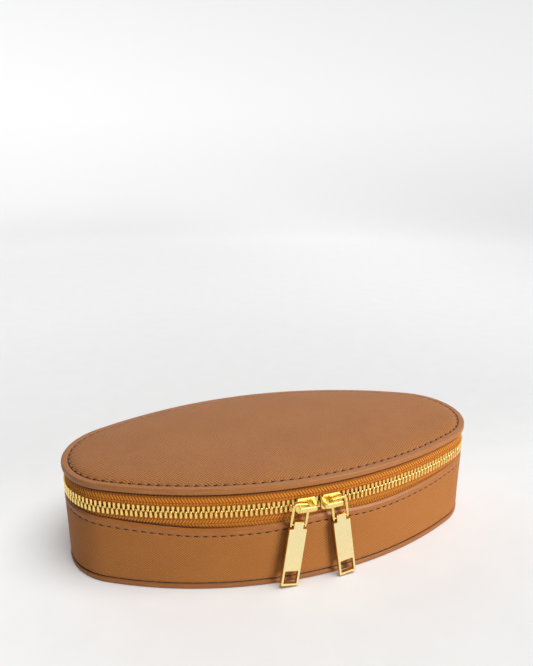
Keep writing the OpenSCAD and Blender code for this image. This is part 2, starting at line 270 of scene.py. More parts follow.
# ------------------------------------------------------------------ materials
class NT:
    def __init__(self, name):
        self.m = bpy.data.materials.new(name)
        self.m.use_nodes = True
        self.t = self.m.node_tree
        self.b = next(n for n in self.t.nodes if n.type == "BSDF_PRINCIPLED")

    def n(self, kind, **kw):
        node = self.t.nodes.new(kind)
        for k2, v in kw.items():
            if hasattr(node, k2) and k2 not in node.inputs:
                setattr(node, k2, v)
            else:
                node.inputs[k2].default_value = v
        return node

    def l(self, a, b):
        self.t.links.new(a, b)

    def uv(self):
        return self.n("ShaderNodeUVMap", uv_map="mm").outputs[0]

    def obj(self):
        return self.n("ShaderNodeTexCoord").outputs["Object"]

    def map(self, vec, rot=0.0, scale=(1, 1, 1), loc=(0, 0, 0)):
        m = self.n("ShaderNodeMapping")
        m.inputs["Rotation"].default_value = (0, 0, rot)
        m.inputs["Scale"].default_value = scale
        m.inputs["Location"].default_value = loc
        self.l(vec, m.inputs["Vector"])
        return m.outputs[0]

    def noise(self, vec, scale, detail=2.0, rough=0.5, dist=0.0):
        n = self.n("ShaderNodeTexNoise")
        n.inputs["Scale"].default_value = scale
        n.inputs["Detail"].default_value = detail
        n.inputs["Roughness"].default_value = rough
        n.inputs["Distortion"].default_value = dist
        self.l(vec, n.inputs["Vector"])
        return n.outputs["Fac"]

    def wave(self, vec, pitch, dist=0.0, detail=2.0, dscale=1.0, profile="SIN"):
        n = self.n("ShaderNodeTexWave")
        n.wave_type = "BANDS"
        n.bands_direction = "X"
        n.wave_profile = profile
        n.inputs["Scale"].default_value = 0.314159 / pitch
        n.inputs["Distortion"].default_value = dist
        n.inputs["Detail"].default_value = detail
        n.inputs["Detail Scale"].default_value = dscale
        self.l(vec, n.inputs["Vector"])
        return n.outputs["Fac"]

    def math(self, op, a, b=None, clamp=False):
        n = self.n("ShaderNodeMath", operation=op, use_clamp=clamp)
        for i, v in enumerate((a, b)):
            if v is None:
                continue
            if isinstance(v, (int, float)):
                n.inputs[i].default_value = v
            else:
                self.l(v, n.inputs[i])
        return n.outputs[0]

    def ramp(self, fac, stops, interp="LINEAR"):
        n = self.n("ShaderNodeValToRGB")
        cr = n.color_ramp
        cr.interpolation = interp
        while len(cr.elements) < len(stops):
            cr.elements.new(0.5)
        for e, (p, col) in zip(cr.elements, stops):
            e.position = p
            e.color = (*col, 1) if not isinstance(col, (int, float)) else (col, col, col, 1)
        self.l(fac, n.inputs[0])
        return n.outputs[0]

    def mix(self, fac, a, b, blend="MIX"):
        n = self.n("ShaderNodeMix", data_type="RGBA", blend_type=blend)
        if isinstance(fac, (int, float)):
            n.inputs[0].default_value = fac
        else:
            self.l(fac, n.inputs[0])
        for i, v in ((6, a), (7, b)):
            if isinstance(v, tuple):
                n.inputs[i].default_value = (*v, 1)
            else:
                self.l(v, n.inputs[i])
        return n.outputs[2]

    def fmix(self, fac, a, b):
        n = self.n("ShaderNodeMix", data_type="FLOAT")
        for i, v in ((0, fac), (2, a), (3, b)):
            if isinstance(v, (int, float)):
                n.inputs[i].default_value = v
            else:
                self.l(v, n.inputs[i])
        return n.outputs[0]

    def bump(self, height, strength, distance, normal=None):
        n = self.n("ShaderNodeBump")
        n.inputs["Strength"].default_value = strength
        n.inputs["Distance"].default_value = distance
        self.l(height, n.inputs["Height"])
        if normal is not None:
            self.l(normal, n.inputs["Normal"])
        return n.outputs[0]

    def set(self, **kw):
        for k2, v in kw.items():
            s = self.b.inputs[k2.replace("_", " ")]
            if hasattr(v, "is_output"):
                self.l(v, s)
            else:
                s.default_value = v if not isinstance(v, tuple) or len(v) == 4 else (*v, 1)
        return self.m


def srgb(rr, g, b):
    f = lambda v: (v / 255 / 12.92) if v / 255 <= 0.04045 else ((v / 255 + 0.055) / 1.055) ** 2.4
    return (f(rr), f(g), f(b))


def leather(name, base, deep, light, pitch=0.9, hatch=0.75, rough=0.5, depth=0.00009, spec=0.45, blotch=0.5):
    """Cross-hatched (saffiano) calfskin: two diagonal sets of fine pressed lines that take turns in patches."""
    t = NT(name)
    uv = t.uv()
    la = t.wave(t.map(uv, rot=math.radians(47)), pitch, dist=1.1, detail=2.0, dscale=0.9)
    lb = t.wave(t.map(uv, rot=math.radians(-43)), pitch * 1.05, dist=1.1, detail=2.0, dscale=0.9)
    patch = t.ramp(t.noise(uv, 0.16, 2.0, 0.55), [(0.44, 0.0), (0.56, 1.0)])
    lines = t.fmix(patch, la, lb)
    both = t.math("MULTIPLY", la, lb)
    lattice = t.fmix(0.3, lines, both)
    grain = t.noise(uv, 2.6, 4.0, 0.6)
    pores = t.noise(uv, 7.0, 2.0, 0.5)
    h = t.math("ADD", t.math("MULTIPLY", lattice, hatch), t.math("MULTIPLY", grain, 1.1 - hatch))
    h = t.math("ADD", h, t.math("MULTIPLY", pores, 0.12))
    tone = t.ramp(lattice, [(0.05, 0.0), (0.6, 1.0)])
    col = t.mix(tone, deep, base)
    col = t.mix(t.ramp(grain, [(0.35, 0.0), (0.75, 0.5)]), col, light)
    big = t.noise(uv, 0.035, 3.0, 0.6)
    col = t.mix(t.math("MULTIPLY", t.ramp(big, [(0.35, 0.0), (0.7, 1.0)]), 0.35 * blotch), col, deep)
    rgh = t.ramp(t.math("ADD", t.math("MULTIPLY", lattice, 0.5), t.math("MULTIPLY", grain, 0.5)), [(0.2, rough + 0.1), (0.8, rough - 0.05)])
    t.set(Base_Color=col, Roughness=rgh, Normal=t.bump(h, 1.0, depth), Specular_IOR_Level=spec)
    return t.m


def smooth_leather(name, base, deep, light, rough=0.42, depth=0.00004, streak=0.4, spec=0.45):
    """The plainer calfskin of the bound edges: pores, faint lengthwise creases, rubbed high spots."""
    t = NT(name)
    uv = t.uv()
    grain = t.noise(uv, 2.2, 5.0, 0.62)
    fine = t.noise(uv, 6.0, 2.0, 0.5)
    crease = t.noise(t.map(uv, scale=(0.12, 2.2, 1)), 1.0, 3.0, 0.6)
    h = t.math("ADD", t.math("MULTIPLY", grain, 0.6), t.math("MULTIPLY", crease, streak))
    h = t.math("ADD", h, t.math("MULTIPLY", fine, 0.15))
    col = t.mix(t.ramp(grain, [(0.3, 0.0), (0.7, 1.0)]), deep, base)
    col = t.mix(t.math("MULTIPLY", t.ramp(crease, [(0.5, 0.0), (0.75, 1.0)]), 0.45), col, light)
    rgh = t.ramp(grain, [(0.3, rough + 0.08), (0.75, rough - 0.06)])
    t.set(Base_Color=col, Roughness=rgh, Normal=t.bump(h, 1.0, depth), Specular_IOR_Level=spec)
    return t.m


def woven(name, base, deep, light, rough=0.75):
    """Zip tape: the ribs are in the mesh, the yarns are drawn here."""
    t = NT(name)
    uv = t.uv()
    ya = t.wave(t.map(uv, rot=math.radians(35)), 0.45, dist=0.6, detail=1.0, dscale=2.0)
    yb = t.wave(t.map(uv, rot=math.radians(-55)), 0.5, dist=0.6, detail=1.0, dscale=2.0)
    yarn = t.math("MULTIPLY", ya, yb)
    fuzz = t.noise(uv, 5.0, 3.0, 0.6)
    h = t.math("ADD", t.math("MULTIPLY", yarn, 0.7), t.math("MULTIPLY", fuzz, 0.3))
    col = t.mix(t.ramp(yarn, [(0.05, 0.0), (0.55, 1.0)]), deep, base)
    at = t.n("ShaderNodeAttribute", attribute_name="rib", attribute_type="GEOMETRY").outputs["Fac"]
    # painted shade and highlight: the tape turns deeper in the grooves between the modelled ribs and lighter on their
    # tops
    col = t.mix(t.ramp(at, [(0.1, 1.0), (0.55, 0.0)]), col, deep)
    col = t.mix(t.math("MULTIPLY", t.ramp(at, [(0.65, 0.0), (1.0, 1.0)]), 0.45), col, light)
    # painted shade: the attribute called crease lays a near-black brown over the tape in the gap under the rim and just
    # above the lip, as painted shadow
    cr = t.n("ShaderNodeAttribute", attribute_name="crease", attribute_type="GEOMETRY").outputs["Fac"]
    col = t.mix(t.math("MULTIPLY", cr, 0.86), col, srgb(38, 18, 6))
    t.set(Base_Color=col, Roughness=rough, Normal=t.bump(h, 0.8, 0.00006), Specular_IOR_Level=0.15, Sheen_Weight=0.08, Sheen_Roughness=0.5)
    return t.m


def velvet(name, base, deep, light):
    t = NT(name)
    uv = t.uv()
    pile = t.noise(uv, 5.0, 3.0, 0.65)
    brush = t.noise(t.map(uv, scale=(0.5, 1.4, 1)), 0.11, 3.0, 0.55, 0.4)
    col = t.mix(t.ramp(pile, [(0.3, 0.0), (0.7, 1.0)]), deep, base)
    col = t.mix(t.math("MULTIPLY", t.ramp(brush, [(0.42, 0.0), (0.62, 1.0)]), 0.45), col, light)
    h = t.math("ADD", pile, t.math("MULTIPLY", brush, 0.6))
    t.set(Base_Color=col, Roughness=0.92, Normal=t.bump(h, 0.7, 0.00012), Specular_IOR_Level=0.2, Sheen_Weight=0.6, Sheen_Roughness=0.4)
    return t.m


def gold(name, base, deep, rough=0.2, scratch=0.35, uvs=True):
    """Polished pale-gold plating over cast zinc, with hairline polishing marks and rubbed spots."""
    t = NT(name)
    v = t.uv() if uvs else t.map(t.obj(), scale=(1000, 1000, 1000))
    hair = t.noise(t.map(v, rot=0.35, scale=(0.35, 7.0, 1)), 1.6, 4.0, 0.65)
    cloud = t.noise(v, 0.45, 3.0, 0.6)
    dots = t.noise(v, 9.0, 2.0, 0.5)
    col = t.mix(t.ramp(cloud, [(0.35, 0.0), (0.7, 1.0)]), deep, base)
    rgh = t.ramp(t.math("ADD", t.math("MULTIPLY", hair, 0.6), t.math("MULTIPLY", cloud, 0.4)), [(0.3, rough - 0.05), (0.7, rough + 0.08)])
    h = t.math("ADD", t.math("MULTIPLY", hair, scratch), t.math("MULTIPLY", dots, 0.1))
    t.set(Base_Color=col, Metallic=1.0, Roughness=rgh, Normal=t.bump(h, 0.35, 0.000012))
    return t.m


def thread(name, base, deep):
    t = NT(name)
    uv = t.uv()
    ply = t.wave(t.map(uv, rot=math.radians(38)), 0.34, dist=0.3, detail=1.0, dscale=2.0)
    col = t.mix(t.ramp(ply, [(0.1, 0.0), (0.7, 1.0)]), deep, base)
    t.set(Base_Color=col, Roughness=0.6, Normal=t.bump(ply, 0.9, 0.00006), Specular_IOR_Level=0.35, Sheen_Weight=0.15)
    return t.m


def plain_grain(name, base, deep, rough=0.9, scale=2.0, depth=0.00005):
    t = NT(name)
    v = t.map(t.obj(), scale=(1000, 1000, 1000))
    n1 = t.noise(v, scale, 4.0, 0.6)
    col = t.mix(t.ramp(n1, [(0.3, 0.0), (0.7, 1.0)]), deep, base)
    t.set(Base_Color=col, Roughness=rough, Normal=t.bump(n1, 0.8, depth))
    return t.m


TAN = dict(base=srgb(170, 109, 55), deep=srgb(128, 76, 33), light=srgb(184, 124, 70))
M_TOP = leather("saffiano_top", srgb(172, 110, 54), srgb(112, 63, 25), srgb(192, 130, 74), pitch=0.95, hatch=0.9, rough=0.5, spec=0.22, depth=0.00013)
M_SIDE = leather("saffiano_side", srgb(168, 107, 52), srgb(130, 77, 33), srgb(184, 124, 68), pitch=0.95, hatch=0.75, rough=0.6, spec=0.12)
M_EDGE = smooth_leather("calf_edge", srgb(170, 109, 56), srgb(134, 81, 37), srgb(192, 132, 78), spec=0.3)
M_BASE = smooth_leather("calf_base", srgb(162, 102, 54), srgb(126, 76, 36), srgb(180, 122, 72), spec=0.25)
M_TAPE = woven("zip_tape_weave", srgb(214, 134, 34), srgb(146, 78, 12), srgb(238, 166, 66))
M_LIP = smooth_leather("calf_lip", srgb(168, 104, 49), srgb(132, 78, 33), srgb(194, 132, 74), rough=0.42, spec=0.3)
M_THREAD = thread("waxed_thread", srgb(168, 108, 50), srgb(112, 66, 24))
M_THREAD_B = thread("waxed_thread_dark", srgb(104, 60, 24), srgb(66, 36, 14))
# a near-black brown used as painted shade: for the needle holes, and for the base board where it shows in the groove
# above the base band
M_PAINTED_SHADE = plain_grain("painted_shade_dark", srgb(52, 28, 12), srgb(34, 18, 8))
M_TEETH = gold("zip_tooth_gold", srgb(255, 228, 146), srgb(244, 206, 112), rough=0.26, scratch=0.1)
# painted light and shade: one gold in two copies, a pale lit one for the tab's broad faces and a deeper shaded one for
# its edges
M_PULL_LIT_FACE = gold("pull_gold_lit_face", srgb(255, 242, 190), srgb(255, 236, 172), rough=0.2, scratch=0.25)
M_PULL_SHADED_EDGE = gold("pull_gold_shaded_edge", srgb(238, 190, 74), srgb(214, 160, 46), rough=0.42, scratch=0.25)
M_BODYG = gold("slider_gold", srgb(255, 234, 160), srgb(250, 222, 130), rough=0.22, scratch=0.0)
M_VELVET = velvet("velvet_rolls", srgb(206, 184, 156), srgb(168, 144, 116), srgb(226, 208, 184))
M_LINING = velvet("suede_lining", srgb(196, 172, 142), srgb(160, 134, 106), srgb(214, 194, 166))
M_BOARD = plain_grain("grey_board", srgb(150, 140, 124), srgb(120, 110, 96))
M_FOAM = plain_grain("foam", srgb(214, 206, 190), srgb(190, 182, 164), scale=5.0)


def use(ob, *mats):
    if len(ob.data.materials):
        ob.data.materials.clear()
    for m in mats:
        ob.data.materials.append(m)
    return ob


# ------------------------------------------------------------------ lid
N1 = 960
S1 = np.linspace(-half(), half(), N1, endpoint=False)
ST_LID = 4.2
n_lid = round(2 * half(3.5) / ST_LID)
SEAM_D = 3.15


def lid_pad():
    """The padded top: it puffs up from the seam and is pulled down a little at each stitch."""
    Hs = half(SEAM_D)
    s = np.linspace(-Hs, Hs, 1200, endpoint=False)
    pull = (0.5 + 0.5 * np.cos(2 * math.pi * n_lid * (s + Hs) / (2 * Hs))) ** 1.6       # 1 at a needle hole
    rings, e_list = [], []
    ds = [-0.02, 0.0, 0.10, 0.22, 0.38, 0.58, 0.82, 1.1, 1.45, 1.9, 2.5, 3.3, 4.3]
    low = np.stack([*outline(s, SEAM_D - 0.02, SEAM_D)[:2], np.full_like(s, 49.9)], -1)
    rings.append(low * [0.9, 0.9, 1])
    rings.append(low)
    for e in ds:
        x, y, nx, ny = outline(s, SEAM_D + e, SEAM_D)
        t = np.full_like(s, 1.0)
        # t as a share of the way out on the seam's own shape
        tt = 1 - e / (50 - SEAM_D)
        z = 50.92 + 0.80 * (1 - math.exp(-max(e, 0) / 0.9)) + 2.05 * (1 - tt ** 5.0)
        z = z - 0.26 * pull * math.exp(-((max(e, 0) - 0.45) / 0.62) ** 2) - 0.09 * pull * math.exp(-max(e, 0) / 2.4)
        z = z + 0.035 * wobble(s, 3, H=Hs, waves=((17, 1), (31, .8), (47, .6), (73, .5))) * math.exp(-max(e, 0) / 5)
        if e <= 0:
            z = np.full_like(s, 50.4)
        rings.append(np.stack([x, y, np.broadcast_to(z, s.shape)], -1))
    xo, yo, _, _ = outline(s, SEAM_D + ds[-1], SEAM_D)
    inner = 50 - SEAM_D - ds[-1]
    for k2 in range(1, 30):
        f = 1 - k2 / 30
        tt = f * inner / (50 - SEAM_D)
        z = 50.92 + 0.80 + 2.05 * (1 - tt ** 5.0)
        rings.append(np.stack([xo * f, yo * f, np.full_like(s, z)], -1))
    ob = ring_fan("lid_pad_leather", rings)
    return ob


def stuff(ob, pin_mask, frames=14, pressure=4.0, cap=0.6):
    """Fills a soft piece by cloth simulation at 100 times its size: the pinned points stay and the rest
    swell. If a point would go further than cap mm, the whole swell is scaled down until none does."""
    SC = 100.0
    me = ob.data
    nv = len(me.vertices)
    co0 = np.zeros(nv * 3, np.float32)
    me.vertices.foreach_get("co", co0)
    big = (co0 * SC).astype(np.float32)
    me.vertices.foreach_set("co", big)
    me.update()
    g = ob.vertex_groups.new(name="pin")
    g.add([int(i) for i in np.nonzero(pin_mask)[0]], 1.0, "REPLACE")
    m = ob.modifiers.new("cloth", "CLOTH")
    st = m.settings
    st.vertex_group_mass = "pin"
    st.use_pressure = True
    st.uniform_pressure_force = pressure
    st.quality = 5
    st.mass = 0.3
    st.tension_stiffness = st.compression_stiffness = 15
    st.shear_stiffness = 5
    st.bending_stiffness = 0.5
    st.effector_weights.gravity = 0
    m.collision_settings.use_collision = False
    m.point_cache.frame_start, m.point_cache.frame_end = 1, frames
    for f in range(1, frames + 1):
        scene.frame_set(f)
    ev = ob.evaluated_get(bpy.context.evaluated_depsgraph_get())
    em = ev.to_mesh()
    co = np.zeros(nv * 3, np.float32)
    em.vertices.foreach_get("co", co)
    ev.to_mesh_clear()
    ob.modifiers.clear()
    ob.vertex_groups.clear()
    mv = (co - big).reshape(-1, 3).astype(float) / SC
    ln = np.linalg.norm(mv, axis=1)
    mv *= min(1.0, cap * MM / max(ln.max(), 1e-12))
    me.vertices.foreach_set("co", (co0.reshape(-1, 3) + mv).astype(np.float32).ravel())
    me.update()
    scene.frame_set(1)
    print("cloth %s: up to %.2f mm, mean %.2f mm" % (ob.name, ln.max() / MM, ln.mean() / MM))
    return ob


pad = use(lid_pad(), M_TOP)
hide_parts("lid_top_leather")

w = wobble(S1, 11)
prof = curve_profile([(1.4, 48.52), (0.75, 48.5), (0.3, 48.62), (0.06, 48.98), (0.0, 49.6), (0.0, 50.4), (0.05, 50.85), (0.22, 51.18), (0.55, 51.36),
                      (1.1, 51.41), (2.0, 51.42), (2.55, 51.39), (2.86, 51.28), (3.03, 51.05), (3.11, 50.7), (3.13, 50.2)], 4)
back = np.array([(3.13, 49.9), (5.4, 49.6), (5.9, 49.3), (5.95, 48.9), (5.7, 48.7), (5.0, 48.62), (3.4, 48.56), (2.2, 48.54)])
P = np.concatenate([prof, back])
D = np.tile(P[:, 0], (N1, 1)); Z = np.tile(P[:, 1], (N1, 1))
top = sm(Z, 50.9, 51.3)
Z = Z + 0.05 * w[:, None] * top
D = D + 0.03 * np.maximum(0, wobble(S1, 12)[:, None]) * (D < 1)
rim = use(sweep("lid_rim_band", S1, D, Z), M_EDGE)
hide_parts("lid_rim_binding")


def stitches(name, zfun, d_line, pitch_n, ds, length, rad, dip, normal_tilt, hole=(0.75, 0.26), skip=None, hole_off=0.3, sink=0.0, mat=None):
    """A row of saddle stitches: each thread stitch arches out of one needle hole and into the next."""
    Hs = half(ds)
    pitch = 2 * Hs / pitch_n
    verts, faces, uvs, mats = [], [], [], []
    KS, KR = 8, 8
    for i in range(pitch_n):
        s0 = -Hs + (i + 0.5) * pitch
        x, y, nx, ny = outline(s0, d_line, ds)
        if skip is not None and skip(float(x), float(y)):
            continue
        base = len(verts)
        tt = np.linspace(-1, 1, KS)
        ss = s0 + tt * length / 2
        x, y, nx, ny = outline(ss, d_line, ds)
        z = zfun(ss, y)
        rise = (1 - tt ** 4) * dip - dip
        g = np.random.default_rng(1000 + i)
        side = g.normal(0, 0.05)
        for k2 in range(KS):
            up = np.array([nx[k2] * normal_tilt[0], ny[k2] * normal_tilt[0], normal_tilt[1]])
            tx = np.array([-ny[k2], nx[k2], 0.0])
            across = np.cross(tx, up)
            cen = np.array([x[k2], y[k2], z[k2]]) + up * (rise[k2] - sink) + across * side * tt[k2]
            q = rad * (0.55 + 0.45 * (1 - tt[k2] ** 6))
            for a in range(KR):
                an = 2 * math.pi * a / KR
                verts.append(cen + q * (math.cos(an) * across * 1.15 + math.sin(an) * up))
        for k2 in range(KS - 1):
            for a in range(KR):
                a2 = (a + 1) % KR
                faces.append((base + k2 * KR + a, base + k2 * KR + a2, base + (k2 + 1) * KR + a2, base + (k2 + 1) * KR + a))
                u0, u1 = ss[k2], ss[k2 + 1]
                uvs += [(u0, a * .25), (u0, (a + 1) * .25), (u1, (a + 1) * .25), (u1, a * .25)]
                mats.append(0)
        for k2 in (0, KS - 1):
            faces.append([base + k2 * KR + a for a in range(KR)])
            uvs += [(ss[k2], a * .25) for a in range(KR)]
            mats.append(0)
        # the needle hole after this stitch: a shallow eyelet let into the leather, coloured near black as painted shade
        # for the depth of a hole
        sh = s0 + pitch / 2
        x, y, nx, ny = outline(np.array([sh]), d_line, ds)
        z = zfun(np.array([sh]), y)
        up = np.array([nx[0] * normal_tilt[0], ny[0] * normal_tilt[0], normal_tilt[1]])
        tx = np.array([-ny[0], nx[0], 0.0])
        across = np.cross(tx, up)
        cen = np.array([x[0], y[0], z[0]]) - up * (hole_off + sink)
        b2 = len(verts)
        NA = 14
        for lay, (q, hgt) in enumerate(((1.0, -0.1), (1.0, 0.05), (0.6, 0.12))):
            for a in range(NA):
                an = 2 * math.pi * a / NA
                verts.append(cen + tx * hole[0] * q * math.cos(an) + across * hole[1] * q * math.sin(an) + up * hgt)
        for lay in range(2):
            for a in range(NA):
                a2 = (a + 1) % NA
                faces.append((b2 + lay * NA + a, b2 + lay * NA + a2, b2 + (lay + 1) * NA + a2, b2 + (lay + 1) * NA + a))
                uvs += [(0, 0)] * 4
                mats.append(1)
        for lay in (0, 2):
            faces.append([b2 + lay * NA + a for a in range(NA)])
            uvs += [(0, 0)] * NA
            mats.append(1)
    ob = new_mesh(name, verts, faces, uvs, mats=mats)
    return use(ob, mat or M_THREAD, M_PAINTED_SHADE)


st1 = stitches("lid_stitches", lambda s, y: np.full_like(s, 51.36), 3.60, n_lid, 3.5, 2.7, 0.26, 0.42, (0.42, 0.907), hole=(0.98, 0.42), hole_off=0.27)
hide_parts("lid_stitching")


# ------------------------------------------------------------------ zip
def tape(name, z_hi, z_lo, d_of, smin, smax, up=True):
    """Woven tape: two rows of slanting ribs that meet in chevrons, a plain cord row by the teeth."""
    n = int((smax - smin) / 0.3)
    s = np.linspace(smin, smax, n)
    rows = 34
    q = np.linspace(0, 1, rows)                        # 0 at the rim or lip side, 1 at the teeth
    v = q * abs(z_hi - z_lo)
    zz = z_hi + (z_lo - z_hi) * q if up else z_lo + (z_hi - z_lo) * q
    width = abs(z_hi - z_lo)
    vr = v[None, :] / 2.35
    row = np.floor(vr)
    fr = vr - row
    slant = np.where(row % 2 == 0, fr, 1 - fr) * 1.15
    ph = (s[:, None] / 1.45 + slant)
    rib = np.clip(0.5 + 0.62 * np.cos(2 * math.pi * ph), 0, 1) ** 0.8
    edge = sm(np.minimum(fr, 1 - fr), 0.0, 0.16)
    rib = rib * edge
    cord = sm(v[None, :], width - 3.0, width - 2.7) * np.ones_like(rib)
    fine = 0.5 + 0.5 * np.cos(2 * math.pi * s[:, None] / 0.72)
    h = rib * (1 - cord) + cord * (0.35 + 0.4 * fine)
    D1 = d_of(zz)[None, :] - 0.26 * h
    D2 = np.broadcast_to(np.minimum(d_of(zz)[::-1][None, ::4] + 0.5, 2.3), (n, len(d_of(zz)[::-1][::4])))
    Dm = np.concatenate([D1, D2], 1)
    Zm = np.concatenate([np.broadcast_to(zz, (n, rows)), np.broadcast_to(zz[::-1][::4], (n, D2.shape[1]))], 1)
    ob = sweep(name, s, Dm, Zm, closed_s=False, caps=True, ds=TAPE_D)
    at = ob.data.attributes.new("rib", "FLOAT", "POINT")
    vals = np.concatenate([h, np.full(D2.shape, 0.5)], 1).ravel()
    at.data.foreach_set("value", vals.astype(np.float32))
    # painted shade for the attribute called crease: the upper tape darkens as it runs under the rim, the lower tape
    # just above the lip, more towards the left end
    if up:
        crease = np.broadcast_to(sm(Zm, 46.3, 47.3), Zm.shape)
    else:
        yy = outline(s, TAPE_D, TAPE_D)[1]
        over = Zm - lip_at(s, yy)[:, None]
        crease = (1 - sm(over, 0.25, 1.5)) * (0.35 + 0.65 * sm(-s, 20, 55))[:, None]
    at = ob.data.attributes.new("crease", "FLOAT", "POINT")
    at.data.foreach_set("value", crease.astype(np.float32).ravel())
    return use(ob, M_TAPE)


HC = half(TAPE_D)
s_hinge = HC - (R - TAPE_D) * math.asin(HINGE / (R - TAPE_D))
t_up = tape("zip_tape_top", 48.7, 40.35, lambda z: 1.12 + 0.75 * sm(z, 43.4, 47.6) + 0.55 * sm(-z, -42.9, -42.2), -s_hinge - 0.3, s_hinge + 0.3)
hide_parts("zip_tape_upper")
t_lo = tape("zip_tape_bottom", 39.45, 26.4, lambda z: 1.12 + 0.50 * sm(-z, -36.9, -32.5) + 0.55 * sm(z, 36.9, 37.6), -s_hinge - 0.3, s_hinge + 0.3, up=False)
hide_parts("zip_tape_lower")

Rc = R - TAPE_D
big_half = Rc * TH
end_len = (r - TAPE_D) * (math.pi - 2 * TH)
back_gap = math.asin((HINGE + 2.6) / Rc)
chain_half = big_half + end_len + Rc * (TH - back_gap)
PITCH = 2.2
tooth_n = int(math.floor(chain_half / PITCH))


def tooth_shape():
    """One tooth pointing down: x along the chain, y front to back, z from its clamp (0) to its nose (-3.3)."""
    bm = bmesh.new()
    secs = [(0.0, 0.58, 1.12), (-0.35, 0.66, 1.2), (-1.3, 0.64, 1.22), (-2.0, 0.56, 1.2), (-2.6, 0.50, 1.15), (-3.05, 0.46, 1.05), (-3.3, 0.30, 0.8)]
    rings = []
    for z, hx, hy in secs:
        ch = min(hx, hy) * 0.42
        pts = [(-hx + ch, -hy), (hx - ch, -hy), (hx, -hy + ch), (hx, hy - ch), (hx - ch, hy), (-hx + ch, hy), (-hx, hy - ch), (-hx, -hy + ch)]
        rings.append([bm.verts.new((x, y, z)) for x, y in pts])
    for a, b in zip(rings, rings[1:]):
        for i in range(8):
            bm.faces.new((a[i], a[(i + 1) % 8], b[(i + 1) % 8], b[i]))
    bm.faces.new(rings[0][::-1]); bm.faces.new(rings[-1])
    bmesh.ops.recalc_face_normals(bm, faces=bm.faces)
    V = np.array([v.co[:] for v in bm.verts]); F = [[v.index for v in f.verts] for f in bm.faces]
    bm.verts.index_update()
    F = [[v.index for v in f.verts] for f in bm.faces]
    bm.free()
    return V, F


def teeth(name, z_root, sign, shift):
    V, F = tooth_shape()
    verts, faces, uvs = [], [], []
    for i in range(-tooth_n, tooth_n):
        s = (i + shift) * PITCH
        x, y, nx, ny = (float(q) for q in outline(s, TAPE_D, TAPE_D))
        g = np.random.default_rng(5000 + i)
        tilt = g.normal(0, 0.018)
        b0 = len(verts)
        for vx, vy, vz in V:
            vx2 = vx + tilt * vz
            z = z_root + sign * vz
            # the front of a tooth looks outwards
            px = x + vx2 * (-ny) + (-vy) * nx
            py = y + vx2 * nx + (-vy) * ny
            verts.append((px, py, z))
        for f in F:
            faces.append([b0 + k2 for k2 in (f if sign > 0 else f[::-1])])
            uvs += [(V[k2][0] * 2 + V[k2][1] + i * 3.1, V[k2][2] * 2) for k2 in (f if sign > 0 else f[::-1])]
    ob = new_mesh(name, verts, faces, uvs, recalc=False, auto=38)
    return use(ob, M_TEETH)


te_u = teeth("zip_teeth_top", ZIP_Z + 2.95, 1, 0.25)
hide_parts("zip_teeth_upper")
te_l = teeth("zip_teeth_bottom", ZIP_Z - 2.95, -1, 0.75)
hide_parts("zip_teeth_lower")

# ------------------------------------------------------------------ base and wall
ST_B = 3.95
n_body = round(2 * half(0.25) / ST_B)


def body_wall():
    n = 1200
    s = np.linspace(-half(), half(), n, endpoint=False)
    _, y0, _, _ = outline(s, 0.25)
    L = lip_at(s, y0)
    pull = (0.5 + 0.5 * np.cos(2 * math.pi * n_body * (s + half()) / (2 * half()))) ** 1.6
    # rows from the base up: (height, set-in) measured from the base or from the lip
    low = [(2.72, 1.06), (2.9, 0.86), (3.2, 0.56), (3.6, 0.34), (4.2, 0.25)]
    D, Zr = [], []
    for z, d in low:
        D.append(np.full(n, d)); Zr.append(np.full(n, z))
    for k2 in range(1, 13):
        f = k2 / 12
        D.append(0.24 + 0.05 * math.sin(f * math.pi) * np.ones(n)); Zr.append(4.2 + f * (L - 5.2 - 4.2))
    first_lip = len(D) + 4
    hi = [(-4.75, 0.25, 0), (-4.35, 0.27, .35), (-4.05, 0.36, .8), (-3.8, 0.46, 1), (-3.55, 0.44, 1), (-3.3, 0.27, .7), (-3.05, 0.17, .35), (-2.7, 0.14, .15),
          (-2.2, 0.16, 0), (-1.75, 0.18, 0), (-1.4, 0.22, 0), (-1.15, 0.30, 0), (-0.92, 0.45, 0), (-0.68, 0.66, 0), (-0.42, 0.88, 0), (-0.16, 1.10, 0),
          (-0.03, 1.25, 0), (-0.06, 1.38, 0), (-0.3, 1.46, 0), (-1.0, 1.48, 0)]
    ws, wt = wobble(s, 21), wobble(s, 22)
    for dz, d, p in hi:
        D.append(d + 0.14 * p * pull + (0.03 * ws if -3 < dz < -.1 else 0)); Zr.append(L + dz + (0.05 * wt if dz > -1.3 else 0))
    D.append(np.full(n, 1.48)); Zr.append(L - 3.4)
    D.append(np.full(n, 1.08)); Zr.append(L - 3.7)
    D.append(np.full(n, 1.08)); Zr.append(np.full(n, 3.1))
    D = np.stack(D, 1); Zr = np.stack(Zr, 1)
    # the turned lip is a strip of plainer leather, stitched down along its lower edge
    mats = [1 if first_lip <= j else 0 for j in range(D.shape[1])] * n
    ob = sweep("body_wall_leather", s, D, Zr, mats=mats)
    return use(ob, M_SIDE, M_LIP)


wall = body_wall()
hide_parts("body_side_leather", "body_lip_fold")
nb = 0
st2 = stitches("body_stitches", lambda s, y: lip_at(s, y) - 3.70, 0.34, n_body, 0.25, 1.9, 0.22, 0.34, (1.0, 0.0), hole=(1.12, 0.44), hole_off=0.15, sink=0.04)
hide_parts("body_stitching")


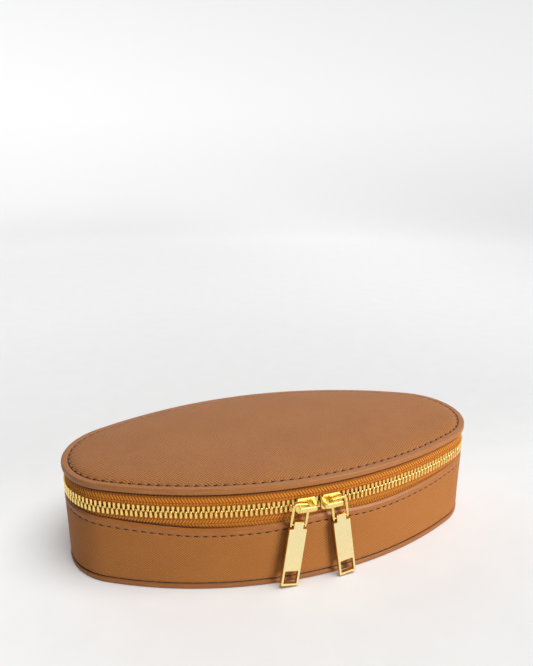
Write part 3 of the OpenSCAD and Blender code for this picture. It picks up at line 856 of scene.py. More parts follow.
def base_tray():
    s = S1
    n = len(s)
    prof = curve_profile([(1.2, 2.42), (0.7, 2.40), (0.28, 2.28), (0.05, 1.92), (0.0, 1.25), (0.04, 0.65), (0.25, 0.18), (0.7, 0.02), (1.4, 0.0)], 3)
    rings = []
    x1, y1, _, _ = outline(s, 1.2)
    rings.append(np.stack([x1 * 0.9, y1 * 0.9, np.full(n, 1.2)], -1))
    rings.append(np.stack([*outline(s, 1.25)[:2], np.full(n, 1.2)], -1))
    for d, z in prof:
        x, y, _, _ = outline(s, d)
        rings.append(np.stack([x, y, np.full(n, z)], -1))
    x, y, _, _ = outline(s, 1.4)
    for f in (0.97, 0.9, 0.75, 0.5, 0.25):
        rings.append(np.stack([x * f, y * f, np.full(n, 0.0)], -1))
    ob = ring_fan("base_edge_leather", rings)
    # (s, v) coordinates for the band that shows, so that its creases run along it
    lay = ob.data.uv_layers["mm"]
    K2 = n
    vv = np.concatenate([[0], np.cumsum(np.hypot(np.diff(prof[:, 0]), np.diff(prof[:, 1])))])
    uv = np.zeros(len(ob.data.loops) * 2, np.float32)
    lay.data.foreach_get("uv", uv)
    uv = uv.reshape(-1, 2)
    for p in ob.data.polygons:
        vi = [ob.data.loops[li].vertex_index for li in p.loop_indices]
        rr_ = [v // K2 for v in vi]
        if min(rr_) >= 2 and max(rr_) < 2 + len(prof):
            ks = [v % K2 for v in vi]
            wrap = max(ks) - min(ks) > K2 / 2
            for li, v in zip(p.loop_indices, vi):
                k3 = v % K2
                if wrap and k3 < K2 / 2:
                    k3 += K2
                uv[li] = (s[0] + k3 * (2 * half() / K2), vv[v // K2 - 2])
    lay.data.foreach_set("uv", uv.ravel())
    return use(ob, M_BASE)


tray = base_tray()
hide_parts("base_panel_leather")


def hinge():
    """The leather that runs up the back from the wall to the lid, with a soft crease where it bends."""
    H = half(0.25)
    ang = math.asin(HINGE / (R - 0.25))
    s = np.linspace(H - (R - 0.25) * ang, H + (R - 0.25) * ang, 150)
    z = np.linspace(35.2, 48.7, 46)
    _, yb, _, _ = outline(s, 0.25, 0.25)
    crease = np.exp(-((z - 39.9) / 0.9) ** 2)
    roll = np.exp(-((z - 37.2) / 0.9) ** 2) + np.exp(-((z - 46.9) / 1.1) ** 2)
    edge = sm(np.minimum(s - s[0], s[-1] - s), 0, 1.6)[:, None]
    D1 = 0.30 + 0.32 * crease[None, :] - 0.05 * roll[None, :] + 0.35 * (1 - edge) ** 2
    D1 = np.broadcast_to(D1, (len(s), len(z)))
    D2 = np.full((len(s), len(z)), 1.1)[:, ::-1]
    Dm = np.concatenate([D1, D2], 1)
    Zm = np.concatenate([np.broadcast_to(z, D1.shape), np.broadcast_to(z[::-1], D2.shape)], 1)
    ob = sweep("hinge_leather", s, Dm, Zm, closed_s=False, caps=True, ds=0.25)
    return use(ob, M_SIDE)


hg = hinge()
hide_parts("hinge_leather_lower", "hinge_leather_upper")

# ------------------------------------------------------------------ inside
S2 = np.linspace(-half(4.4), half(4.4), 480, endpoint=False)
_, y2, _, _ = outline(S2, 4.4, 4.4)
L2 = lip(y2)
cols = [(4.42, 3.0, 0), (4.42, 3.4, 0)] + [(4.40, 3.6, f / 10) for f in range(1, 10)]
Dl, Zl = [], []
for d, z, f in cols:
    Dl.append(np.full(480, d)); Zl.append(z + f * (L2 - 2.3 - z))
for d, dz in [(4.42, -1.95), (4.36, -1.5), (4.15, -1.2), (3.8, -1.06), (3.2, -1.02), (2.6, -1.06), (2.2, -1.2), (1.98, -1.5), (1.92, -2.0), (1.92, -4.0), (3.6, -4.2)]:
    Dl.append(np.full(480, d)); Zl.append(L2 + dz)
Dl.append(np.full(480, 3.6)); Zl.append(np.full(480, 3.0))
linw = use(sweep("wall_lining", S2, np.stack(Dl, 1), np.stack(Zl, 1), ds=4.4), M_LINING)
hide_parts("lining_wall")

rings = []
for t_, z_ in [(0.9, 2.65), (1.0, 2.65)]:
    x, y, _, _ = outline(S2, 4.5, 4.4); rings.append(np.stack([x * t_, y * t_, np.full(480, z_)], -1))
for d, z_ in [(4.5, 3.2), (4.6, 3.45), (4.9, 3.6), (5.6, 3.64)]:
    x, y, _, _ = outline(S2, d, 4.4); rings.append(np.stack([x, y, np.full(480, z_)], -1))
for t_ in np.linspace(0.96, 0.04, 24):
    x, y, _, _ = outline(S2, 5.6, 4.4); rings.append(np.stack([x * t_, y * t_, 3.64 + 0.05 * wobble(S2, int(t_ * 100)) * (1 - t_)], -1))
flo = use(ring_fan("floor_lining", rings), M_LINING)
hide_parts("lining_floor")


def divider(name, x0, x1, y0, y1, z0, z1, rnd, clip=None, along="y"):
    """A lined board with a rounded, slightly padded top edge."""
    n = 60
    a = np.linspace(0, 1, n)
    prof = []
    for an in np.linspace(math.pi, 0, 13):
        prof.append((math.cos(an), z1 - rnd + rnd * math.sin(an)))
    verts, faces, uvs = [], [], []
    t0, t1 = (y0, y1) if along == "y" else (x0, x1)
    mid = (x0 + x1) / 2 if along == "y" else (y0 + y1) / 2
    hw = (x1 - x0) / 2 if along == "y" else (y1 - y0) / 2
    cols_ = [(-1, z0)] + [(-1, z0 + (z1 - rnd - z0) * f) for f in (0.02, .25, .5, .75, .95)] + prof + [(1, z0 + (z1 - rnd - z0) * f) for f in (.95, .75, .5, .25, 0.02)] + [(1, z0)]
    M = len(cols_)
    for i in range(n):
        t = t0 + (t1 - t0) * a[i]
        puff = 0.10 * math.sin(math.pi * a[i]) + 0.04 * math.sin(a[i] * 23)
        for cx_, z in cols_:
            wgt = hw + puff * sm(z, z0, z1)
            zz = z + (0.25 * (1 - (2 * a[i] - 1) ** 8) - 0.25) * (z > z0 + 1)
            p = (mid + cx_ * wgt, t, zz) if along == "y" else (t, mid + cx_ * wgt, zz)
            verts.append(p)
    for i in range(n - 1):
        for j in range(M):
            j2 = (j + 1) % M
            faces.append((i * M + j, (i + 1) * M + j, (i + 1) * M + j2, i * M + j2))
            uvs += [(a[i] * (t1 - t0), j * 1.5), (a[i + 1] * (t1 - t0), j * 1.5), (a[i + 1] * (t1 - t0), (j + 1) * 1.5), (a[i] * (t1 - t0), (j + 1) * 1.5)]
    for i in (0, n - 1):
        faces.append([i * M + j for j in range(M)])
        uvs += [(cols_[j][0], cols_[j][1]) for j in range(M)]
    return use(new_mesh(name, verts, faces, uvs, auto=50), M_LINING)


for nm, x in (("divider_left", -38), ("divider_right", 38)):
    (bx0, by0, bz0), (bx1, by1, bz1) = [tuple(v / MM for v in q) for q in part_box(nm)]
    dv = divider(nm + "_lined", bx0, bx1, by0 + 0.15, by1 - 0.15, bz0, bz1, 1.15)
    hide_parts(nm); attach(dv, "base")
(bx0, by0, bz0), (bx1, by1, bz1) = [tuple(v / MM for v in q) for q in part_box("divider_end")]
dv = divider("divider_end_lined", bx0 - 0.1, bx1 - 0.1, by0, by1, bz0, bz1, 1.15, along="x")
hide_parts("divider_end"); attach(dv, "base")


def roll(i, yc, x0, x1, rad, zc):
    """One ring roll: a stuffed velvet tube with gathered, domed ends and a seam along its underside."""
    n, m = 64, 44
    xs, rs = [], []
    for f in np.linspace(0, 1, 9):
        an = f * math.pi / 2
        xs.append(x0 + 1.9 * (1 - math.cos(an))); rs.append((rad - 1.9) + 1.9 * math.sin(an))
    body_x = np.linspace(x0 + 1.9, x1 - 1.9, n)[1:-1]
    xs += list(body_x); rs += [rad] * len(body_x)
    for f in np.linspace(1, 0, 9):
        an = f * math.pi / 2
        xs.append(x1 - 1.9 * (1 - math.cos(an))); rs.append((rad - 1.9) + 1.9 * math.sin(an))
    ringsr = []
    g = np.random.default_rng(70 + i)
    ph = g.uniform(0, 6.28, 4)
    for x, q in zip(xs, rs):
        an = np.linspace(0, 2 * math.pi, m, endpoint=False)
        wv = 0.10 * np.sin(3 * an + x * 0.11 + ph[0]) + 0.08 * np.sin(2 * an - x * 0.23 + ph[1])
        rr = q - 0.18 + wv - 0.7 * np.exp(-((an - 1.5 * math.pi) / 0.16) ** 2)
        ringsr.append(np.stack([np.full(m, x), yc + rr * np.cos(an), zc + rr * np.sin(an)], -1))
    first, last = ringsr[0], ringsr[-1]
    def cap(ring, x, f, dx):
        cc = np.array([x, yc, zc])
        o = cc + (ring - cc) * f
        o[:, 0] = x + dx
        return o
    pre = [cap(first, x0, f, dx) for f, dx in ((0.12, 0.5), (0.4, 0.12), (0.75, 0.0))]
    post = [cap(last, x1, f, -dx) for f, dx in ((0.75, 0.0), (0.4, 0.12), (0.12, 0.5))]
    ob = ring_fan(f"ring_roll_{i + 1}", pre + ringsr + post)
    # along the roll and round it
    K2 = m
    lay = ob.data.uv_layers["mm"]
    me = ob.data
    uv = np.zeros((len(me.loops), 2), np.float32)
    for p in me.polygons:
        vi = [me.loops[li].vertex_index for li in p.loop_indices]
        ks = [v % K2 for v in vi]
        wrap = max(ks) - min(ks) > K2 / 2
        for li, v in zip(p.loop_indices, vi):
            k3 = v % K2
            if wrap and k3 < K2 / 2:
                k3 += K2
            uv[li] = (me.vertices[v].co[0] / MM, k3 * 2 * math.pi * rad / K2)
    lay.data.foreach_set("uv", uv.ravel())
    return use(ob, M_VELVET)


for i in range(5):
    yc = (i - 2) * 15.7
    ob = roll(i, yc, -36.4, 36.4, 7.6, 11.25)
    cz = np.array([v.co[:] for v in ob.data.vertices]) / MM
    # sewn down along the underside seam and gathered at the middle of each end
    stuff(ob, (cz[:, 2] < 11.25 - 6.0) | (np.hypot(cz[:, 1] - yc, cz[:, 2] - 11.25) < 1.5), pressure=12.0, cap=0.55)
    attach(ob, "base")
    if i == 0:
        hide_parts("ring_rolls")

# lid lining: a thin padded panel that faces down into the case
S3 = np.linspace(-half(5.6), half(5.6), 240, endpoint=False)
rings = []
x, y, _, _ = outline(S3, 5.7, 5.6)
for t_ in (0.5, 0.97, 1.0):
    rings.append(np.stack([x * t_, y * t_, np.full(240, 48.92)], -1))
for d, z_ in [(5.62, 48.5), (5.6, 48.0), (5.66, 47.5), (5.9, 47.1), (6.3, 46.8), (6.9, 46.62), (7.8, 46.5), (9.0, 46.42)]:
    xx, yy, _, _ = outline(S3, d, 5.6)
    rings.append(np.stack([xx, yy, np.full(240, z_)], -1))
xx, yy, _, _ = outline(S3, 9.0, 5.6)
for t_ in np.linspace(0.96, 0.03, 26):
    zc_ = 46.42 - 0.28 * (1 - t_ ** 3)
    rings.append(np.stack([xx * t_, yy * t_, zc_ + 0.03 * wobble(S3, 40 + int(t_ * 60)) * (1 - t_)], -1))
ll = use(ring_fan("lid_lining_pad", rings), M_LINING)
cz = np.array([v.co[2] for v in ll.data.vertices]) / MM
stuff(ll, cz > 46.9, frames=12, pressure=1.0, cap=1.0)
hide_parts("lid_lining")

# ------------------------------------------------------------------ sliders and pulls
MEET, GAP, HL = 5.5, 1.4, 5.3
S_LEFT, S_RIGHT = MEET - GAP / 2 - HL, MEET + GAP / 2 + HL
SPLAY = math.radians(8)
PILLAR = -3.3
WIRE_Y, TOP_Z, SL = -3.9, 1.7, 9.9
LEG0 = -6.39
LEG1 = LEG0 + 6.9
LEG_Z = TOP_Z - SL
BEND = 1.2
TAB_X = (LEG0 + LEG1) / 2


def place(co, side, splayed):
    """From a slider's own frame (left one as drawn, outer end at -x) to the case's, mm."""
    co = np.array(co, float).reshape(-1, 3)
    if splayed:
        x = co[:, 0] - PILLAR
        z = co[:, 2].copy()
        co[:, 0] = PILLAR + x * math.cos(SPLAY) + z * math.sin(SPLAY)
        co[:, 2] = -x * math.sin(SPLAY) + z * math.cos(SPLAY)
    if side == "right":
        co[:, 0] *= -1
    a = (S_LEFT if side == "left" else S_RIGHT) / Rc
    ca, sa = math.cos(a), math.sin(a)
    x, y = co[:, 0], co[:, 1] - Rc
    return np.stack([x * ca - y * sa, K + x * sa + y * ca, co[:, 2] + ZIP_Z], -1)


def bm_box(bm, x0, x1, y0, y1, z0, z1):
    v = [bm.verts.new((x, y, z)) for x in (x0, x1) for y in (y0, y1) for z in (z0, z1)]
    for f in ((0, 1, 3, 2), (4, 6, 7, 5), (0, 4, 5, 1), (2, 3, 7, 6), (0, 2, 6, 4), (1, 5, 7, 3)):
        bm.faces.new([v[i] for i in f])


def bm_prism(bm, pts, y0, y1):
    """pts are (x, z) counter-clockwise."""
    a = [bm.verts.new((x, y0, z)) for x, z in pts]
    b = [bm.verts.new((x, y1, z)) for x, z in pts]
    n = len(pts)
    bm.faces.new(a); bm.faces.new(b[::-1])
    for i in range(n):
        bm.faces.new((a[i], b[i], b[(i + 1) % n], a[(i + 1) % n]))


def bm_plan(bm, pts, z0, z1):
    """pts are (x, y)."""
    a = [bm.verts.new((x, y, z0)) for x, y in pts]
    b = [bm.verts.new((x, y, z1)) for x, y in pts]
    n = len(pts)
    bm.faces.new(a); bm.faces.new(b[::-1])
    for i in range(n):
        bm.faces.new((a[i], b[i], b[(i + 1) % n], a[(i + 1) % n]))


def arc(cx, cz, q, a0, a1, n=8):
    return [(cx + q * math.cos(math.radians(a0 + (a1 - a0) * i / n)), cz + q * math.sin(math.radians(a0 + (a1 - a0) * i / n))) for i in range(n + 1)]


def rounded(pts, a0, a1, q, axes):
    """A solid with the closed outline pts, from a0 to a1, its long edges rounded by q.
    axes gives where the two outline coordinates and the height go."""
    P = np.array(pts, float)
    area2 = np.sum(P[:, 0] * np.roll(P[:, 1], -1) - np.roll(P[:, 0], -1) * P[:, 1])
    if area2 < 0:
        P = P[::-1]
    e = np.roll(P, -1, 0) - P
    e /= np.linalg.norm(e, axis=1)[:, None]
    t = e + np.roll(e, 1, 0)
    t /= np.linalg.norm(t, axis=1)[:, None]
    nrm = np.stack([t[:, 1], -t[:, 0]], 1)
    mid, hh = (a0 + a1) / 2, (a1 - a0) / 2
    lay = []
    for i in range(6):
        an = math.radians(90 - 90 * i / 5)
        lay.append((-hh + q - q * math.sin(an), q - q * math.cos(an)))
    lay += [(-z, d) for z, d in lay[::-1]]
    n = len(P)
    V, F = [], []
    for z, d in lay:
        Q = P - nrm * d
        for i in range(n):
            v = [0, 0, 0]
            v[axes[0]], v[axes[1]], v[axes[2]] = Q[i, 0], Q[i, 1], mid + z
            V.append(v)
    for k2 in range(len(lay) - 1):
        for i in range(n):
            i2 = (i + 1) % n
            F.append((k2 * n + i, k2 * n + i2, (k2 + 1) * n + i2, (k2 + 1) * n + i))
    F.append(list(range(n))[::-1])
    F.append([(len(lay) - 1) * n + i for i in range(n)])
    return V, F


def rrect(x0, x1, y0, y1, q):
    return arc(x1 - q, y1 - q, q, 0, 90, 5) + arc(x0 + q, y1 - q, q, 90, 180, 5) + arc(x0 + q, y0 + q, q, 180, 270, 5) + arc(x1 - q, y0 + q, q, 270, 360, 5)


def slider_body():
    """Cast slider: two shield-shaped plates with turned-in flanges, the post between them, and the
    C-shaped crown that the pull's wire passes through."""
    parts = []
    # shield outline (x, z), wide at the inner end (+x), drawn in at the tail (-x)
    sh = arc(3.5, 2.0, 1.6, 0, 80, 8) + [(0.6, 3.72)] + arc(-3.7, 1.9, 1.3, 95, 180, 8) + arc(-3.7, -1.9, 1.3, 180, 265, 8) + [(0.6, -3.72)] + arc(3.5, -2.0, 1.6, 280, 360, 8)
    parts.append(rounded(sh, -2.65, -1.6, 0.36, (0, 2, 1)))
    parts.append(rounded([(x * 0.96, z * 0.97) for x, z in sh], 1.5, 2.35, 0.25, (0, 2, 1)))
    for y0, y1 in ((-2.35, -1.34), (1.34, 2.1)):
        parts.append(rounded(rrect(-3.9, 4.1, 3.0, 3.74, 0.25), y0, y1, 0.16, (0, 2, 1)))
    for y0, y1 in ((-2.35, -0.62), (0.62, 2.1)):
        parts.append(rounded(rrect(-3.9, 4.1, -3.76, -3.2, 0.25), y0, y1, 0.16, (0, 2, 1)))
    parts.append(rounded(rrect(1.4, 3.9, -1.9, 1.9, 0.3), -0.28, 0.28, 0.1, (0, 1, 2)))
    # the crown: seen from above it is a C, open at the tail
    bar = [(1.6, -5.28), (0.4, -5.24), (-1.2, -5.26), (-2.6, -5.34)] + arc(-3.75, -5.74, 0.4, 95, 265, 8)[:] + [(-2.6, -6.22), (-1.0, -6.34), (0.8, -6.38), (2.2, -6.34)]
    out = arc(2.85, -4.55, 1.80, -88, -4, 12) + [(4.72, -3.9), (4.78, -3.2), (4.6, -2.2)]
    inn = [(3.2, -2.2), (3.1, -3.0), (3.12, -3.9)] + arc(2.2, -4.38, 0.9, 0, -82, 8)
    parts.append(rounded(bar + out + inn, -1.22, 1.22, 0.42, (0, 1, 2)))
    # its root on the plate, and the small tail pillar that keeps the wire in
    parts.append(rounded(rrect(2.6, 4.9, -1.75, 1.75, 0.8), -3.3, -2.2, 0.35, (0, 2, 1)))
    parts.append(rounded(rrect(PILLAR - 0.5, PILLAR + 0.46, -5.5, -2.3, 0.2), -0.5, 0.5, 0.18, (0, 1, 2)))
    V, F = [], []
    for v, f in parts:
        o = len(V)
        V += v
        F += [tuple(i + o for i in g) for g in f]
    return np.array(V, float), F


SB_V, SB_F = slider_body()


def stirrup_mesh():
    """Pressed wire loop, rounded-rectangle section, with its pins turned in at the ends."""
    path = [(LEG0, z) for z in np.linspace(LEG_Z - 1.0, TOP_Z - BEND, 7)[:-1]]
    path += [(LEG0 + BEND - BEND * math.cos(a), TOP_Z - BEND + BEND * math.sin(a)) for a in np.linspace(0, math.pi / 2, 9)]
    path += [(x, TOP_Z) for x in np.linspace(LEG0 + BEND, LEG1 - BEND, 5)[1:-1]]
    path += [(LEG1 - BEND + BEND * math.sin(a), TOP_Z - BEND + BEND * math.cos(a)) for a in np.linspace(0, math.pi / 2, 9)]
    path += [(LEG1, z) for z in np.linspace(TOP_Z - BEND, LEG_Z - 1.0, 7)[1:]]
    path = np.array(path)
    hx, hy, q = 0.64, 0.55, 0.34
    sec = []
    for cx_, cy_, a0 in ((hx - q, hy - q, 0), (-hx + q, hy - q, 90), (-hx + q, -hy + q, 180), (hx - q, -hy + q, 270)):
        sec += arc(cx_, cy_, q, a0, a0 + 90, 4)
    tan = np.gradient(path, axis=0)
    tan /= np.linalg.norm(tan, axis=1)[:, None]
    verts, faces = [], []
    m = len(sec)
    n = len(path)
    scl = [0.55, 0.9] + [1] * (n - 4) + [0.9, 0.55]
    pp = path.copy()
    for i in range(n):
        nx_, nz_ = -tan[i][1], tan[i][0]
        for a, b in sec:
            k2 = scl[i]
            verts.append((pp[i][0] + nx_ * a * k2, WIRE_Y + b * k2, pp[i][1] + nz_ * a * k2))
    for i in range(n - 1):
        for j in range(m):
            faces.append((i * m + j, i * m + (j + 1) % m, (i + 1) * m + (j + 1) % m, (i + 1) * m + j))
    faces.append(list(range(m))[::-1]); faces.append([(n - 1) * m + j for j in range(m)])
    # pins
    for x0, x1 in ((LEG0, LEG0 + 1.9), (LEG1 - 1.9, LEG1)):
        b0 = len(verts)
        for x in (x0, x0 + 0.1, x1 - 0.1, x1):
            q2 = 0.3 if x in (x0, x1) else 0.38
            for a in np.linspace(0, 2 * math.pi, 14, endpoint=False):
                verts.append((x, WIRE_Y + q2 * math.cos(a), LEG_Z + q2 * math.sin(a)))
        for i in range(3):
            for j in range(14):
                faces.append((b0 + i * 14 + j, b0 + i * 14 + (j + 1) % 14, b0 + (i + 1) * 14 + (j + 1) % 14, b0 + (i + 1) * 14 + j))
        faces.append([b0 + j for j in range(14)]); faces.append([b0 + 42 + j for j in range(14)])
    return np.array(verts, float), faces


def tab_mesh():
    """The flat pull tab: tongue between the pins, square shoulders, and a window at its foot."""
    bm = bmesh.new()
    xs = [-4.15, -3.1, -2.3, 2.3, 3.1, 4.15]
    zs = [-30.9, -29.8, -23.3, -12.0, -1.85, 0.9, 1.8]
    keep = {}
    for i in range(5):
        for j in range(6):
            if j >= 4:
                ok = i == 2
            elif j == 1:
                ok = i in (0, 4)
            else:
                ok = True
            keep[i, j] = ok
    vf, vb = {}, {}
    y0, y1 = WIRE_Y - 0.98, WIRE_Y + 0.85
    def g(d, i, j, y):
        if (i, j) not in d:
            d[i, j] = bm.verts.new((TAB_X + xs[i], y, LEG_Z + zs[j]))
        return d[i, j]
    for (i, j), ok in keep.items():
        if not ok:
            continue
        bm.faces.new([g(vf, i, j, y0), g(vf, i + 1, j, y0), g(vf, i + 1, j + 1, y0), g(vf, i, j + 1, y0)])
        bm.faces.new([g(vb, i, j, y1), g(vb, i, j + 1, y1), g(vb, i + 1, j + 1, y1), g(vb, i + 1, j, y1)])
        for (a, b, ni, nj) in (((i, j), (i + 1, j), i, j - 1), ((i + 1, j), (i + 1, j + 1), i + 1, j), ((i + 1, j + 1), (i, j + 1), i, j + 1), ((i, j + 1), (i, j), i - 1, j)):
            if not keep.get((ni, nj), False):
                bm.faces.new([g(vf, *a, y0), g(vb, *a, y1), g(vb, *b, y1), g(vf, *b, y0)])
    bmesh.ops.recalc_face_normals(bm, faces=bm.faces)
    # round the corners of the silhouette, then break the long edges
    corner = [e for e in bm.edges if abs(e.verts[0].co.y - e.verts[1].co.y) > 0.5 and len(e.link_faces) == 2 and e.calc_face_angle(0) > 0.5]
    bmesh.ops.bevel(bm, geom=corner, offset=0.28, segments=3, affect="EDGES", profile=0.5)
    rim_e = [e for e in bm.edges if len(e.link_faces) == 2 and e.calc_face_angle(0) > 0.9]
    bmesh.ops.bevel(bm, geom=rim_e, offset=0.17, segments=3, affect="EDGES", profile=0.5)
    bm.verts.index_update()
    V = np.array([v.co[:] for v in bm.verts]); F = [[v.index for v in f.verts] for f in bm.faces]
    bm.free()
    return V, F


for side in ("left", "right"):
    co = place(SB_V, side, False)
    ob = new_mesh(f"slider_{side}_cast", co, SB_F, None, auto=40)
    ob.modifiers.new("w", "WEIGHTED_NORMAL").keep_sharp = True
    apply_mods(ob)
    box_uv(ob); use(ob, M_BODYG)
    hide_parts(f"slider_{side}"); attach(ob, f"{side}_slider")
    V, F = stirrup_mesh()
    ob = new_mesh(f"stirrup_{side}_loop", place(V, side, True), F, None, auto=50)
    box_uv(ob); use(ob, M_BODYG)
    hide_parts(f"stirrup_{side}"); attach(ob, f"{side}_stirrup")
    V, F = tab_mesh()
    below = np.maximum(-(V[:, 2] - LEG_Z), 0)
    V[:, 1] -= below * math.sin(math.radians(1.2))
    ob = new_mesh(f"pull_tab_{side}_plate", place(V, side, True), F, None, auto=32)
    box_uv(ob); use(ob, M_PULL_LIT_FACE, M_PULL_SHADED_EDGE)
    a_ = (S_LEFT if side == "left" else S_RIGHT) / Rc
    fn = Vector((math.sin(a_), -math.cos(a_), 0))
    # broad faces take the pale lit copy of the gold, all other faces the deeper shaded copy: painted light and shade
    for pl in ob.data.polygons:
        pl.material_index = 0 if abs(pl.normal.dot(fn)) > 0.93 else 1
    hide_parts(f"pull_tab_{side}"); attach(ob, f"{side}_tab")

# CAD nodes that stay: inner boards and foam, end stops
for nm, m in (("lid_board", M_BOARD), ("lid_foam_pad", M_FOAM), ("base_board", M_BOARD), ("body_wall_board", M_BOARD), ("body_wall_foam", M_FOAM)):
    use(NODES[nm], m)
# painted shadow: the base board, seen in the groove above the base band, takes the near-black painted-shade material
# instead of its board grey
use(NODES["base_board"], M_PAINTED_SHADE)
M_STOP = gold("stop_gold", srgb(250, 226, 150), srgb(238, 206, 120), rough=0.22, uvs=False)
use(NODES["zip_end_stops"], M_STOP)
bv = NODES["zip_end_stops"].modifiers.new("edges", "BEVEL")
bv.width, bv.segments, bv.limit_method, bv.angle_limit = 0.0003, 3, "ANGLE", math.radians(40)

for ob in (pad, rim, st1, t_up, te_u, ll):
    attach(ob, "lid")
for ob in (wall, st2, tray, t_lo, te_l, linw, flo):
    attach(ob, "base")
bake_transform(hg)

# ------------------------------------------------------------------ stage, light, camera
# A round bowl: flat floor that curves up to a wall, the same from every side.
prof = [(0.0, 0.0)] + [(0.06 * i, 0.0) for i in range(1, 21)] + [(1.3, 0.0)]
for i in range(1, 13):
    an = i / 12 * math.pi / 2
    prof.append((1.3 + 0.9 * math.sin(an), 0.9 - 0.9 * math.cos(an)))
prof += [(2.2, 1.6), (2.2, 2.6)]
verts, faces = [], []
NB = 96
for rr_, z in prof:
    for i in range(NB):
        a = 2 * math.pi * i / NB
        verts.append((rr_ * 1000 * math.cos(a), rr_ * 1000 * math.sin(a), z * 1000))
for j in range(len(prof) - 1):
    for i in range(NB):
        i2 = (i + 1) % NB
        faces.append((j * NB + i, j * NB + i2, (j + 1) * NB + i2, (j + 1) * NB + i))
floor = new_mesh("studio_bowl", verts, faces, None, recalc=False)
fv = np.array(verts) / 1000
fr_ = np.hypot(fv[:, 0], fv[:, 1])
toward = (fv[:, 0] * 0.42 + fv[:, 1] * 0.91) / np.maximum(fr_, 1e-6)     # 1 behind and to the right, -1 in front and to the left
glow = sm(fr_, 1.0, 2.0) * (0.08 + 0.92 * sm(toward, -0.35, 0.5)) * (1 - 0.065 * sm(fv[:, 2], 0.3, 1.3))
at = floor.data.attributes.new("glow", "FLOAT", "POINT")
at.data.foreach_set("value", glow.astype(np.float32))
at = floor.data.attributes.new("far", "FLOAT", "POINT")
at.data.foreach_set("value", sm(fr_, 0.9, 1.9).astype(np.float32))
# painted shade: the floor is coloured darker behind the case, less so to its right, a little more further out, and only
# half as much up the far wall
shade_amount = 0.18 + 0.06 * sm(fr_, 0.4, 0.9) - 0.13 * sm(fv[:, 0], -0.05, 0.5)
tone = 1 - shade_amount * sm(fv[:, 1], -0.02, 0.12) * (1 - 0.5 * sm(fr_, 1.2, 1.9))
at = floor.data.attributes.new("tone", "FLOAT", "POINT")
at.data.foreach_set("value", tone.astype(np.float32))
t = NT("studio_white")
n1 = t.noise(t.map(t.obj(), scale=(60, 60, 60)), 1.0, 3.0, 0.5)
gl = t.n("ShaderNodeAttribute", attribute_name="glow", attribute_type="GEOMETRY").outputs["Fac"]
far = t.n("ShaderNodeAttribute", attribute_name="far", attribute_type="GEOMETRY").outputs["Fac"]
# the floor colour is scaled towards black by the painted shade held in the tone attribute
floor_painted_shade = t.n("ShaderNodeAttribute", attribute_name="tone", attribute_type="GEOMETRY").outputs["Fac"]
near = t.mix(floor_painted_shade, (0, 0, 0), t.ramp(n1, [(0.3, srgb(237, 237, 237)), (0.7, srgb(239, 239, 239))]))
t.set(Base_Color=t.mix(far, near, (0.22, 0.22, 0.22)), Roughness=0.95, Specular_IOR_Level=0.05)
t.b.inputs["Emission Color"].default_value = (1, 1, 1, 1)
t.l(t.math("MULTIPLY", gl, 0.70), t.b.inputs["Emission Strength"])
t.m.cycles.emission_sampling = "NONE"
use(floor, t.m)
floor.location.z = -0.00005

world = bpy.data.worlds.new("studio")
scene.world = world
world.use_nodes = True
world.node_tree.nodes["Background"].inputs[0].default_value = (0.97, 0.98, 1.0, 1)
world.node_tree.nodes["Background"].inputs[1].default_value = 0.06

# The softboxes light the case; the table has a light of its own, so its shadow stays faint.
case_set = bpy.data.collections.new("case_lit")
table_set = bpy.data.collections.new("table_lit")
for o in scene.objects:
    if o.type == "MESH":
        (table_set if o == floor else case_set).objects.link(o)


def link_light(ob, coll):
    ob.light_linking.receiver_collection = coll


def area(name, loc, target, size, power, col=(1, 1, 1), size_y=None):
    ld = bpy.data.lights.new(name, "AREA")
    ld.shape = "RECTANGLE"
    ld.size = size
    ld.size_y = size_y or size
    ld.energy = power
    ld.color = col
    ob = bpy.data.objects.new(name, ld)
    ob.location = loc
    ob.rotation_euler = (Vector(target) - Vector(loc)).to_track_quat("-Z", "Y").to_euler()
    scene.collection.objects.link(ob)
    return ob


def polar(azd, eld, dist):
    a_, e_ = math.radians(azd), math.radians(eld)
    return (dist * math.sin(a_) * math.cos(e_), -dist * math.cos(a_) * math.cos(e_), dist * math.sin(e_))


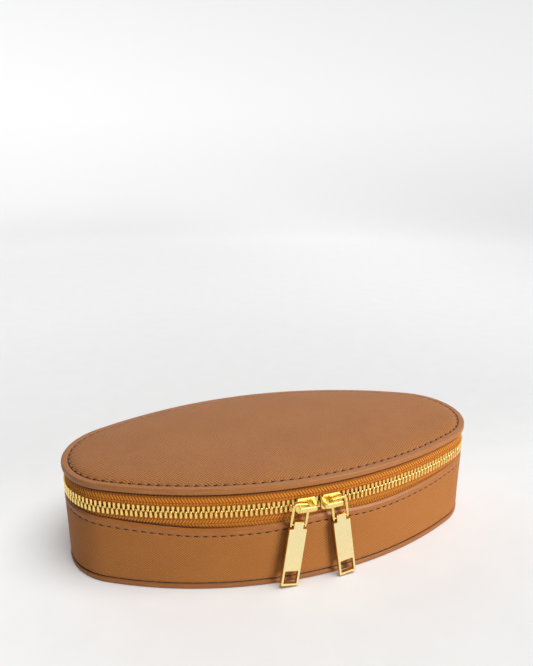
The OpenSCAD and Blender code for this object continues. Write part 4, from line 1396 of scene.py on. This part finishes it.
key = area("key", polar(38, 31, 1.2), (0, 0, 0.03), 0.5, 17.5, (1.0, 0.985, 0.955), size_y=0.5)
topl = area("top", polar(160, 58, 1.2), (0, 0, 0.03), 0.6, 4.2, (1.0, 1.0, 1.0), size_y=0.5)
soft = area("metal_soft", polar(24, 50, 1.0), (0, 0, 0.03), 1.3, 13.0, (1.0, 0.99, 0.97), size_y=1.3)
metal_set = bpy.data.collections.new("metal_lit")
leather_set = bpy.data.collections.new("leather_lit")
for o in case_set.objects:
    (metal_set if o.name.startswith(("slider_", "stirrup_", "pull_tab_")) else leather_set).objects.link(o)
link_light(key, leather_set)
link_light(soft, metal_set)
link_light(topl, case_set)
sd = bpy.data.lights.new("table_light", "SUN")
sd.energy = 3.46
sd.angle = math.radians(50)
sun = bpy.data.objects.new("table_light", sd)
sun.rotation_euler = (Vector((0, 0, 0)) - Vector((0.30, -0.40, 1.0))).to_track_quat("-Z", "Y").to_euler()
scene.collection.objects.link(sun)
link_light(sun, table_set)

az, el = math.radians(-16.706), math.radians(30.822)
yaw, pitch, rollang = math.radians(0.854), math.radians(17.68), math.radians(0.046)
backv = Vector((math.sin(az) * math.cos(el), -math.cos(az) * math.cos(el), math.sin(el)))
pos = Vector((0, 0, 0.025)) + backv * 0.33319
fa = az + yaw
fwd = -Vector((math.sin(fa) * math.cos(pitch), -math.cos(fa) * math.cos(pitch), math.sin(pitch)))
right = fwd.cross(Vector((0, 0, 1))).normalized()
upv = right.cross(fwd)
cd = bpy.data.cameras.new("camera")
cam = bpy.data.objects.new("camera", cd)
cam.matrix_world = Matrix((
    (right.x, upv.x, -fwd.x, pos.x), (right.y, upv.y, -fwd.y, pos.y), (right.z, upv.z, -fwd.z, pos.z), (0, 0, 0, 1)))
cd.sensor_fit = "AUTO"
cd.sensor_width = 36.0
cd.lens = 615.15 / 666 * 36.0
cd.clip_start, cd.clip_end = 0.01, 20
scene.collection.objects.link(cam)
scene.camera = cam
scene.view_settings.view_transform = "Standard"
